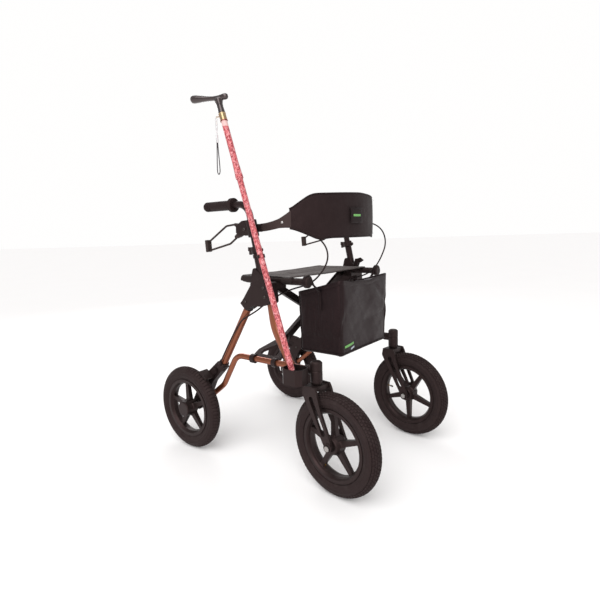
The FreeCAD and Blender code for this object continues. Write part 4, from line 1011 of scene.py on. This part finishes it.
class MakeSeat(Make):
    """Woven sling wrapped round both seat rails."""
    bl_idname = "walker.seat"
    bl_label = "Seat sling"

    def build(self):
        """The cloth's middle line is an arc round each rail and a shallow hollow between them; the
        arc is cut back where the rails lie in their housings."""
        cloth = settings()[2]
        rows, turn_steps, flat_steps = 110, 18, 70
        height, reach = RAIL_Z, 0.0127
        front, rear = (corner[1] for corner in box("seat"))
        full_wrap, cut_back = 105, 96
        y = np.linspace(front, rear, rows)
        clear = np.zeros(rows)
        for centre, half_gap in ((-0.066, 0.0175), (-0.026, 0.0215)):
            clear = np.maximum(clear, 1 - smooth_step(0.0, 0.007, np.abs(y - centre) - half_gap))
        wrap = np.radians(full_wrap - cut_back * clear)
        turn = wrap[:, None] * np.linspace(1, 0, turn_steps)[None]
        x_turn, z_turn = RAIL_X + reach * np.sin(turn), height + reach * np.cos(turn)
        share = np.linspace(1, 0, flat_steps + 1)[1:]
        ends = 1 - 0.55 * smooth_step(0.0, 0.5, np.abs((y - front) / (rear - front) * 2 - 1))
        x_flat = np.broadcast_to(RAIL_X * share, (rows, flat_steps))
        drop = cloth.sag * ends[:, None] * (1 - share[None] ** 2) ** 1.2
        z_flat = height + reach - drop
        half_x = np.hstack([x_turn, x_flat])
        half_z = np.hstack([z_turn, z_flat])
        x = np.hstack([half_x, -half_x[:, -2::-1]])
        z = np.hstack([half_z, half_z[:, -2::-1]])
        line = np.stack([x, np.broadcast_to(y[:, None], x.shape), z], axis=2)
        ripple = 0.0006 * wrinkled(line, 11, ((6.0, 1.0), (13.0, 0.5), (31.0, 0.3)))
        line[..., 2] += ripple * smooth_step(0.0, 0.06, 0.2 - np.abs(x))
        along = np.gradient(line, axis=1)
        out = unit(np.stack([-along[..., 2], np.zeros_like(x), along[..., 0]], axis=2))
        out *= np.sign(out[:, x.shape[1] // 2, 2])[:, None, None]
        hem = 1 + 0.45 * (1 - smooth_step(0.011, 0.014, np.minimum(y - front, rear - y)))
        seam = 1 + 0.5 * np.exp(-((y + 0.021) / 0.0016) ** 2)
        half = (cloth.sling / 2 * hem * seam)[:, None, None]
        grid = np.concatenate([line + out * half, (line - out * cloth.sling / 2)[:, ::-1]], axis=1)
        mesh = surface("seat_sling", grid, wrap_columns=True, crease=50)
        close_holes(mesh)
        item = sewn("seat_sling", mesh, "seat_fabric", ("seat",))
        fold_flat(item)
        self.stitching(line, out, y, cloth)

    def stitching(self, line, out, y, cloth):
        """Two rows of stitches inside each hem and by the middle seam, and one along each rail."""
        inset = cloth.sling / 2 + 0.0003
        margin, rail_columns = 14, 56
        rows = []
        for at in (-0.1165, -0.119, 0.0745, 0.077, -0.0165, -0.0255):
            k = int(np.argmin(np.abs(y - at)))
            across = slice(margin, line.shape[1] - margin)
            way = np.gradient(line[k], axis=0)[across]
            rows.append(stitched("seam", line[k, across] + out[k, across] * inset * 1.35,
                                 way, out[k, across]))
        centre = line.shape[1] // 2
        for offset in (-rail_columns, rail_columns):
            k = centre + offset
            way = np.gradient(line[:, k], axis=0)
            rows.append(stitched("seam", line[:, k] + out[:, k] * inset, way, out[:, k]))
        item = sewn("seat_stitches", joined("seat_stitches", rows), "thread")
        fold_flat(item)


def close_holes(mesh, below=math.inf):
    """Fills a mesh's holes with faces, or only those whose edges lie below a height."""
    shape = bmesh.new()
    shape.from_mesh(mesh)
    edges = [edge for edge in shape.edges if edge.is_boundary
             and max(vert.co.z for vert in edge.verts) < below]
    bmesh.ops.holes_fill(shape, edges=edges, sides=0)
    bmesh.ops.recalc_face_normals(shape, faces=shape.faces)
    shape.to_mesh(mesh)
    shape.free()


def rounded_loop(x_half, y_low, y_high, corner, each):
    """Points round a rectangle with round corners, evenly in each straight and each corner, as
    arrays x, y; it starts in the middle of the front side (y_low) and runs towards +X."""
    quarter = np.linspace(0, math.pi / 2, each // 2, endpoint=False)
    x, y = [], []
    corners = ((x_half - corner, y_low + corner, -math.pi / 2), (x_half - corner, y_high - corner, 0.0),
               (-x_half + corner, y_high - corner, math.pi / 2),
               (-x_half + corner, y_low + corner, math.pi))
    ends = [(c[0] + corner * math.cos(c[2]), c[1] + corner * math.sin(c[2])) for c in corners]
    leave = [(c[0] + corner * math.cos(c[2] + math.pi / 2), c[1] + corner * math.sin(c[2] + math.pi / 2))
             for c in corners]
    for k, (cx, cy, start) in enumerate(corners):
        before = leave[k - 1]
        share = np.linspace(0, 1, each, endpoint=False)
        x.append(before[0] + (ends[k][0] - before[0]) * share)
        y.append(before[1] + (ends[k][1] - before[1]) * share)
        x.append(cx + corner * np.cos(start + quarter))
        y.append(cy + corner * np.sin(start + quarter))
    return np.concatenate(x), np.concatenate(y)


class MakeBag(Make):
    """Cloth bag under the seat, hung from the rails."""
    bl_idname = "walker.bag"
    bl_label = "Bag"
    half_x, front, rear, floor = BAG_HIGH[0], BAG_LOW[1], BAG_HIGH[1], BAG_LOW[2]
    mouth_y, mouth_z = (front, -0.171, rear), (0.617, 0.594, 0.574)
    floor_rows = 15

    def rim_height(self, x, y):
        """Height of the bag's mouth: high in front, lower behind, dipping in the middle."""
        height = np.interp(y, self.mouth_y, self.mouth_z)
        ahead = 1 - smooth_step(0.0, 0.03, y - self.front)
        wave = 0.0022 * np.sin(x * 55 + 0.6) * (1 - (x / self.half_x) ** 2)
        return height - ahead * (0.012 * (1 - (x / self.half_x) ** 2) + wave)

    def shell(self):
        """Grid of the bag's cloth: rows from the floor's middle, out to its edge and up the walls."""
        x, y = rounded_loop(self.half_x - 0.001, self.front + 0.001, self.rear - 0.001, 0.016, 42)
        centre = np.array([0.0, (self.front + self.rear) / 2])
        top = self.rim_height(x, y)
        rows = []
        for share in np.linspace(0.06, 0.955, self.floor_rows):
            low = self.floor - 0.004 * (1 - share ** 2) + 0.001
            rows.append(np.stack([x * share, centre[1] + (y - centre[1]) * share,
                                  np.full_like(x, low)], axis=1))
        rows[-1][:, 2] += 0.001
        rise = np.linspace(0.0, 1.0, 62)
        for share in rise:
            z = self.floor + 0.005 + (top - self.floor - 0.005) * share
            rows.append(np.stack([x, y, z], axis=1))
        return np.array(rows)

    def build(self):
        grid = self.shell()
        mesh = surface("bag_shell", grid, wrap_columns=True, crease=80)
        close_holes(mesh, below=0.5)
        mesh.shade_smooth()
        item = bpy.data.objects.new("bag_cloth", mesh)
        bpy.context.scene.collection.objects.link(item)
        columns = grid.shape[1]
        held = np.zeros(len(mesh.vertices))
        share = np.repeat(np.arange(grid.shape[0]), columns) / (grid.shape[0] - 1)
        held[:len(share)] = np.where(share > 0.985, 1.0, 0.0)
        settle(item, held, 1.6, 0.6, 0.005, frames=16, stiffness=20.0)
        push_out(mesh, self.creases)
        lying = points_of(mesh)[:grid.shape[0] * grid.shape[1]].reshape(grid.shape)
        mesh.materials.append(MATERIALS["bag_fabric"])
        thicken(item, 0.0014, -1.0)
        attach(item, "bag")
        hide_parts("bag")
        area = mesh_area(mesh)
        fold_flat(item)
        self.trims(lying)
        self.cover()
        self.straps()
        self.labels(lying)

    def creases(self, spots):
        """How far the cloth stands out at each place: soft upright waves in front, a slack fold from
        the left top corner, waves across the sides, and fine puckers; none at the mouth or inside."""
        x, y, z = spots.T
        ahead = 1 - smooth_step(0.004, 0.02, y - self.front)
        upright = 0.0016 * np.sin(34 * x + 1.5 * np.sin(9 * z)) * ahead
        slack = -0.0032 * np.exp(-(((x - 0.09) * 0.8 + (z - 0.56)) / 0.014) ** 2) * ahead
        slack *= smooth_step(-0.05, 0.1, x)
        sway = 0.0022 * np.sin(26 * z + 14 * x) * (1 - ahead)
        fine = 0.0007 * wrinkled(spots, 7, ((14.0, 1.0), (33.0, 0.6), (70.0, 0.3)))
        held = smooth_step(0.0, 0.035, self.rim_height(x, y) - z)
        inside = smooth_step(self.floor - 0.001, self.floor + 0.02, z)
        return (upright + slack + sway + fine) * held * inside

    def sewn_on(self, name, mesh, material="trim_fabric"):
        """A trim that goes with the bag."""
        item = put_piece(name, mesh, MATERIALS[material], "bag")
        fold_flat(item)
        return item

    def trims(self, grid):
        """Piping up the corners and round the floor, a hem band and its stitches."""
        around = grid.shape[1]
        middle = np.array([0.0, (self.front + self.rear) / 2, 0.0])
        first = self.floor_rows + 1
        ring = grid[first]
        outward = unit((ring - middle) * np.array([1.0, 1.0, 0.0]))
        loop = ring + outward * 0.0016
        loop = np.vstack([loop, loop[:1]])
        piping = 0.0021
        self.sewn_on("bag_piping_floor", tube("piping", loop, piping, (0, 0, 1), 10))
        each = around // 4
        for k in range(4):
            column = (k * each + each - 11) % around
            line = grid[first:, column] + outward[column] * 0.0010
            mesh = tube("piping", line, piping, (1, 0.3, 0), 10)
            self.sewn_on("bag_piping_corner_%d" % (k + 1), mesh)
        rim = grid[-1]
        out = unit((rim - middle) * np.array([1.0, 1.0, 0.0]))
        band = []
        for drop, push in ((0.0, -0.0012), (0.0012, 0.0009), (0.0, 0.0020), (-0.006, 0.0025),
                           (-0.0115, 0.0022), (-0.0125, 0.0014), (-0.0125, 0.0), (-0.011, -0.0012),
                           (-0.005, -0.0022)):
            band.append(rim + out * push + np.array([0, 0, drop]))
        mesh = surface("bag_hem", np.array(band), wrap_rows=True, wrap_columns=True, crease=50)
        self.sewn_on("bag_hem", mesh, "bag_fabric")
        loop = np.vstack([rim, rim[:1]])
        outs = np.vstack([out, out[:1]])
        rows = [stitched("seam", loop + outs * 0.0028 + np.array([0, 0, drop]),
                         np.gradient(loop, axis=0), outs) for drop in (-0.0030, -0.0098)]
        self.sewn_on("bag_stitches", joined("bag_stitches", rows), "thread")

    def cover(self):
        """Gathered cloth over the bag's mouth: a sheet with puckers that run back from its hem."""
        across, deep = np.linspace(-1, 1, 90), np.linspace(0, 1, 46)
        u, v = np.meshgrid(across, deep, indexing="xy")
        x = u * (self.half_x - 0.004)
        y = self.front + 0.005 + v * (self.rear - self.front - 0.012)
        base = self.rim_height(x, y) - 0.006
        fall = 0.006 * np.sin(math.pi * v) * (1 - u ** 4)
        pucker = 0.0030 * wrinkled(np.stack([x * 2.6, y * 0.7, 0 * x], axis=2), 23)
        ends = (1 - u ** 8) * np.sin(math.pi * np.clip(v, 0, 1)) ** 0.4
        z = base - fall + pucker * ends
        grid = np.stack([x, y, z], axis=2)
        mesh = surface("bag_cover", grid, crease=80)
        item = self.sewn_on("bag_cover", mesh, "cover_fabric")
        thicken(item, 0.0012)
        area = mesh_area(item.data)

    def straps(self):
        """Webbing that hooks over each rail's front cap and is sewn to the bag's side."""
        turn = np.radians(np.linspace(150, -20, 26))
        reach, beside = 0.0200, self.half_x + 0.0022
        x = np.concatenate([RAIL_X + reach * np.cos(turn[::-1]),
                            np.linspace(RAIL_X - 0.024, beside, 12), np.full(14, beside)])
        z = np.concatenate([RAIL_Z + reach * np.sin(turn[::-1]), np.linspace(0.610, 0.578, 12),
                            np.linspace(0.574, 0.520, 14)])
        for side, sign in SIDES:
            line = np.stack([sign * x, np.full_like(x, -0.1785), z], axis=1)
            smooth = through(line[::3], 4)
            section = ring_section((0.0055, 0.0010), 20)
            mesh = surface("strap", carried(smooth, section, (0, 1, 0)), wrap_columns=True, caps=True)
            self.sewn_on("bag_strap_" + side, mesh)

    def labels(self, lying):
        """Two plain woven tabs low on the front: rectangles bent to lie on the panel."""
        for name, material, low, high, base, tall in (
                ("bag_tab_green", "tab_fabric", -0.128, -0.074, 0.403, 0.0075),
                ("bag_tab_pale", "pale_fabric", -0.092, -0.070, 0.391, 0.0055)):
            v, u = np.meshgrid(np.linspace(0, 1, 7), np.linspace(0, 1, 28), indexing="ij")
            x, z = low + (high - low) * u, base + tall * v + 0.004 * u
            ahead = lying[..., 1] < self.front + 0.02
            near = lying[ahead]
            gap = (x[..., None] - near[:, 0]) ** 2 + (z[..., None] - near[:, 2]) ** 2
            weight = np.exp(-gap / 0.004 ** 2) + 1e-12
            y = (weight * near[:, 1]).sum(axis=-1) / weight.sum(axis=-1) - 0.0009
            item = self.sewn_on(name, surface(name, np.stack([x, y, z], axis=2)), material)
            thicken(item, 0.0007)


def mesh_area(mesh):
    """Sum of a mesh's face areas."""
    areas = np.empty(len(mesh.polygons))
    mesh.polygons.foreach_get("area", areas)
    return float(areas.sum())


BAND_TOP = [(0, 882), (130, 877), (164, 876), (179, 874), (193, 863), (205, 851), (223, 831)]
BAND_LOW = [(0, 747), (130, 747), (164, 742), (179, 752), (193, 760), (205, 768), (223, 778)]
# The band and its arms follow half an ellipse about a point of the middle plane.
ELLIPSE_X, ELLIPSE_Y, ELLIPSE_MIDDLE = 0.250, 0.205, -0.031
BAND_END, ARM_START = 0.223, 0.2205


def band_place(turn):
    """Point of the backrest's ellipse at a turn from straight ahead, and its outward direction."""
    turn = np.asarray(turn, float)
    sine, cosine, flat = np.sin(turn), np.cos(turn), np.zeros_like(turn)
    spot = np.stack([ELLIPSE_X * sine, ELLIPSE_MIDDLE - ELLIPSE_Y * cosine, flat], axis=-1)
    return spot, unit(np.stack([ELLIPSE_Y * sine, -ELLIPSE_X * cosine, flat], axis=-1))


class MakeBackrest(Make):
    """Padded band behind the user's back, with its two plastic arms."""
    bl_idname = "walker.backrest"
    bl_label = "Backrest"

    def limits(self, x):
        """Lowest and highest point of the cloth at a distance from the middle."""
        x = np.abs(x) / MM
        high = np.interp(x, [p[0] for p in BAND_TOP], [p[1] for p in BAND_TOP])
        low = np.interp(x, [p[0] for p in BAND_LOW], [p[1] for p in BAND_LOW])
        return low * MM, high * MM

    def build(self):
        cloth = settings()[2]
        columns, half_depth = 150, 0.0042
        last = math.asin(BAND_END / ELLIPSE_X)
        turn = np.linspace(-last, last, columns)
        spot, out = band_place(turn)
        low, high = self.limits(spot[:, 0])
        even = np.ones(9) / 9
        low = np.convolve(np.pad(low, 4, mode="edge"), even, "valid")
        high = np.convolve(np.pad(high, 4, mode="edge"), even, "valid")
        around = np.linspace(0, 2 * math.pi, 64, endpoint=False)
        tall = np.sign(np.cos(around)) * np.abs(np.cos(around)) ** 0.62
        deep = np.sign(np.sin(around)) * np.abs(np.sin(around)) ** 0.72
        taper = np.sqrt(np.clip(1 - (np.abs(np.linspace(-1, 1, columns)) ** 22), 0.04, 1))
        middle, half = (low + high) / 2, (high - low) / 2
        grid = (spot[:, None] + out[:, None] * (half_depth * deep * taper[:, None])[..., None]
                + UP * (middle[:, None] + half[:, None] * tall)[..., None])
        mesh = surface("backrest_pad", grid, wrap_columns=True, caps=True, crease=70)
        item = put_piece("backrest_pad", mesh, MATERIALS["band_fabric"], None,
                         ("backrest_cover",))
        edge = np.abs(np.cos(around)) ** 0.62
        held = np.where((edge[None] > 0.985) | (taper[:, None] < 0.9), 1.0, 0.0).ravel()
        held = np.concatenate([held, [1.0, 1.0]])
        settle(item, held, 3.0, 0.0, cloth.puff, frames=20)
        push_out(mesh, self.ripples)
        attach(item, "handle_right")
        fold_flat(item)
        self.binding(grid, around, out, middle, half)
        self.arms()

    def ripples(self, spots):
        """How far the cloth stands out at each place: low upright ripples, stronger towards the ends
        where the cloth is pulled round."""
        flat = spots * np.array([1.0, 1.0, 0.16])
        ripple = 0.0007 * wrinkled(flat, 31, ((8.0, 1.0), (21.0, 0.7), (46.0, 0.4)))
        return ripple * (0.5 + smooth_step(0.1, 0.2, np.abs(spots[:, 0])))

    def fixed(self, name, mesh, material, slot="band_fabric", replaces=()):
        """A piece of the backrest, which rides on the right handle."""
        item = put_piece(name, mesh, MATERIALS[material], "handle_right", replaces)
        fold_flat(item)
        return item

    def binding(self, grid, around, out, middle, half):
        """Bound edges along top and bottom, a row of stitches inside each, a blank patch and a bar."""
        top = int(np.argmin(np.abs(around)))
        low = int(np.argmin(np.abs(around - math.pi)))
        for name, column in (("top", top), ("bottom", low)):
            line = grid[:, column]
            section = ring_section((0.0034, 0.0031), 12)
            mesh = surface("binding", carried(line, section, (0, 0, 1)), wrap_columns=True, caps=True)
            self.fixed("backrest_binding_" + name, mesh, "trim_fabric")
        rows = []
        for share in (-0.86, 0.86):
            for face in (-1, 1):
                spot = grid[:, top] * np.array([1, 1, 0]) + UP * (middle + half * share)[:, None]
                spot = spot + out * face * 0.0062
                inner = slice(6, -6)
                rows.append(stitched("seam", spot[inner], np.gradient(spot, axis=0)[inner],
                                     out[inner] * face))
        self.fixed("backrest_stitches", joined("backrest_stitches", rows), "thread")
        turn = np.linspace(math.radians(-14), math.radians(-1), 26)
        spot, ahead = band_place(turn)
        tall = np.linspace(-1, 1, 15)
        bulge = 0.0105 - 0.0006 * (np.abs(tall)[None] ** 6 + np.abs(np.linspace(-1, 1, 26))[:, None] ** 8)
        patch = (spot[:, None] + ahead[:, None] * bulge[..., None]
                 + UP * (0.812 + 0.024 * tall)[None, :, None])
        item = self.fixed("backrest_patch", surface("backrest_patch", patch), "patch_fabric")
        thicken(item, 0.0009)
        turn = np.linspace(math.radians(-11.5), math.radians(-3.5), 30)
        spot, ahead = band_place(turn)
        bar = (spot[:, None] + ahead[:, None] * 0.0116
               + UP * (0.8125 + 0.0035 * np.linspace(-1, 1, 5))[None, :, None])
        item = self.fixed("backrest_mark", surface("backrest_mark", bar), "tab_fabric")
        thicken(item, 0.0006)

    def arms(self):
        """Curved plastic arms: a rounded slab that follows the band's ellipse and narrows."""
        meshes, rivets = [], []
        for _, sign in SIDES:
            turn = np.linspace(math.asin(ARM_START / ELLIPSE_X), math.radians(89.4), 46)
            spot, out = band_place(sign * turn)
            x = np.abs(spot[:, 0]) / MM
            high = np.interp(x, [220, 222, 230, 238, 246, 251], [828, 828, 817, 806, 798, 793]) * MM
            low = np.interp(x, [220, 222, 230, 238, 246, 251], [778, 778, 778.5, 778, 773, 769]) * MM
            around = np.linspace(0, 2 * math.pi, 32, endpoint=False)
            tall = np.sign(np.cos(around)) * np.abs(np.cos(around)) ** 0.35
            deep = np.sign(np.sin(around)) * np.abs(np.sin(around)) ** 0.35
            grid = (spot[:, None] + out[:, None] * (0.0026 * deep)[None, :, None]
                    + UP * ((high + low)[:, None] / 2 + (high - low)[:, None] / 2 * tall)[..., None])
            meshes.append(surface("arm", grid, wrap_columns=True, caps=True, crease=45))
            at = 12
            profile = np.array([[0.0019, 0.0], [0.0017, 0.0026], [0.0011, 0.0038], [0.0, 0.0043]])
            centre = spot[at] + out[at] * 0.0024 + UP * (high + low)[at] / 2
            rivets.append(surface("rivet", turned(profile, centre, out[at], 20), wrap_rows=True))
        self.fixed("backrest_arms_moulded", joined("arms", meshes), "grey_plastic", "grey_plastic",
                   ("backrest_arms",))
        self.fixed("backrest_rivets", joined("rivets", rivets), "steel", "steel")


class MakeCaneHandle(Make):
    """Glossy T-handle of the cane, and the ring under its collar."""
    bl_idname = "walker.cane_handle"
    bl_label = "Cane handle"
    foot = np.array([-0.2971, -0.184, 0.3355])
    way = unit([8.0, 266.0, 822.0])

    def on_cane(self, height):
        """The point of the cane's middle line at a height."""
        return self.foot + self.way * ((height - self.foot[2]) / self.way[2])

    def build(self):
        """The bar is an ellipse whose half sizes and bend change along it, the neck a turned shape
        that flares into it, and a fine remesh joins the two."""
        turn = math.radians(17.0)
        ahead = np.array([-math.sin(turn), math.cos(turn), 0.0])
        neck_top = self.on_cane(1.174) + UP * 0.002
        along = np.array([-34, -32, -26, -16, -4, 10, 26, 42, 58, 74, 86, 92, 94]) * MM
        wide = np.array([3.4, 7.0, 9.2, 9.6, 8.8, 8.2, 8.4, 9.2, 10.4, 11.6, 11.8, 9.4, 3.8]) * MM
        tall = np.array([3.4, 7.4, 9.4, 8.8, 7.6, 6.8, 6.9, 8.0, 9.9, 11.6, 11.8, 9.2, 3.4]) * MM
        bend = np.array([1.6, 1.4, 0.8, -0.3, -1.6, -2.2, -2.0, -1.2, -0.4, 0.2, 0.2, 0.0, -0.2]) * MM
        knots = np.stack([along, wide, tall, bend], axis=1)
        fine = through(knots, 5)
        line = neck_top + fine[:, :1] * (ahead + 0.045 * UP) + fine[:, 3:] * UP
        angle = np.linspace(0, 2 * math.pi, 40, endpoint=False)
        section = np.stack([fine[:, 2:3] * np.cos(angle), fine[:, 1:2] * np.sin(angle)], axis=2)
        bar = surface("bar", carried(line, section, UP), wrap_columns=True, caps=True)
        start = self.on_cane(1.1262)
        tallness = np.linalg.norm(neck_top - start)
        share = np.linspace(0, 1, 26)
        radius = (0.0106 - 0.0010 * smooth_step(0, 0.4, share)
                  + 0.0036 * smooth_step(0.45, 0.84, share) ** 1.5
                  - 0.0085 * smooth_step(0.86, 1.0, share))
        profile = np.stack([share * tallness, radius], axis=1)
        profile = np.vstack([[[0.0, 0.0]], profile, [[tallness, 0.0]]])
        neck = surface("neck", turned(profile, start, neck_top - start, 40), wrap_rows=True)
        whole = bpy.data.objects.new("handle_draft", joined("handle_draft", [bar, neck]))
        bpy.context.scene.collection.objects.link(whole)
        fuse = whole.modifiers.new("Fuse", "REMESH")
        fuse.mode, fuse.voxel_size = "VOXEL", 0.0011
        soften = whole.modifiers.new("Soften", "SMOOTH")
        soften.factor, soften.iterations = 0.5, 14
        bpy.context.view_layer.update()
        mesh = bpy.data.meshes.new_from_object(whole.evaluated_get(bpy.context.evaluated_depsgraph_get()))
        bpy.data.objects.remove(whole)
        mesh.materials.clear()
        mesh.shade_smooth()
        put_piece("cane_handle_polished", mesh, MATERIALS["gloss_black"], "cane",
                  ("cane_handle",))
        ring = np.array([[0, 0.0108], [0.0004, 0.0117], [0.0016, 0.0117], [0.002, 0.0108], [0.001, 0.0104]])
        spot = self.on_cane(1.1035) - self.way * 0.0012
        mesh = surface("ring", turned(ring, spot, self.way, 40), wrap_rows=True, wrap_columns=True)
        put_piece("cane_red_ring", mesh, MATERIALS["ring_red"], "cane")


def bolt_head(name, centre, axis, radius, height):
    """Round bolt head with a chamfer and a shallow socket, as one turned profile."""
    disc = np.array([[0, radius], [height * 0.6, radius], [height, radius * 0.8], [height, radius * 0.5],
                     [height * 0.45, radius * 0.46], [height * 0.4, 0.0]])
    rows = turned(disc, centre, axis, 24)
    return surface(name, rows, wrap_rows=True, crease=28)


class MakeFittings(Make):
    """Bolts of the frame, bosses of the forks and pins of the brake levers."""
    bl_idname = "walker.fittings"
    bl_label = "Fittings"
    # Outer and inner face of a casting, radius and height of its bolts, and their places (y, z).
    castings = ((0.2805, 0.2385, 0.0046, 0.0026, ((-0.063, 0.572), (-0.058, 0.600), (0.020, 0.552))),
                (0.2650, 0.2390, 0.0044, 0.0025, ((0.232, 0.262), (0.268, 0.182))))
    sunk = 0.0002

    def build(self):
        for side, sign in SIDES:
            bolts = [bolt_head("bolt", (sign * x, y, z), (sign * way, 0, 0), radius, height)
                     for outer, inner, radius, height, spots in self.castings for y, z in spots
                     for x, way in ((outer - self.sunk, 1), (inner + self.sunk, -1))]
            put_piece("frame_bolts_" + side, joined("bolts", bolts), MATERIALS["dark_steel"],
                      "frame_" + side)
            joint = JOINTS["front_wheel_spin_" + side]
            ring = np.array([[0.0355, 0.0096], [0.0385, 0.0100], [0.0392, 0.0112], [0.0390, 0.0134],
                             [0.0380, 0.0146], [0.0355, 0.0150]])
            bosses = [surface("boss", turned(ring * np.array([k, 1.0]), joint_place(joint),
                                             joint_axis(joint), 36), wrap_rows=True, wrap_columns=True)
                      for k in (-1.0, 1.0)]
            put_piece("fork_bosses_" + side, joined("bosses", bosses), MATERIALS["black_plastic"],
                      "caster_" + side)
            x = sign * POST_X
            pins = [bolt_head("pin", (x + k * 0.0108, 0.015, 0.778), (k, 0, 0), 0.0052, 0.0024)
                    for k in (-1, 1)]
            put_piece("brake_pins_" + side, joined("pins", pins), MATERIALS["dark_steel"],
                      "handle_" + side)


# ------------------------------------------------------------------ panel and start

OPERATORS = (MakeStage, MakeFinishes, MakeStrap, MakeCables, MakeTyres, MakeValves, MakeSeat, MakeBag,
             MakeBackrest, MakeCaneHandle, MakeFittings)


class WalkerPanel(bpy.types.Panel):
    """Lists the walker's operators."""
    bl_idname = "VIEW3D_PT_walker"
    bl_label = "Rollator walker"
    bl_space_type = "VIEW_3D"
    bl_region_type = "UI"
    bl_category = "Walker"

    def draw(self, context):
        for operator in OPERATORS:
            self.layout.operator(operator.bl_idname)


GROUP_TYPES = (("walker_paint", WalkerPaint), ("walker_tread", WalkerTread),
               ("walker_cloth", WalkerCloth), ("walker_cables", WalkerCables))


def register():
    for label, kind in GROUP_TYPES:
        bpy.utils.register_class(kind)
        setattr(bpy.types.Scene, label, bpy.props.PointerProperty(type=kind))
    for kind in OPERATORS + (WalkerPanel,):
        bpy.utils.register_class(kind)


def unregister():
    for kind in (WalkerPanel,) + OPERATORS[::-1]:
        bpy.utils.unregister_class(kind)
    for label, kind in GROUP_TYPES:
        delattr(bpy.types.Scene, label)
        bpy.utils.unregister_class(kind)


def main():
    """Builds everything in order."""
    register()
    for operator in OPERATORS:
        group_name, call = operator.bl_idname.split(".")
        getattr(getattr(bpy.ops, group_name), call)()


if __name__ == "__main__":
    main()
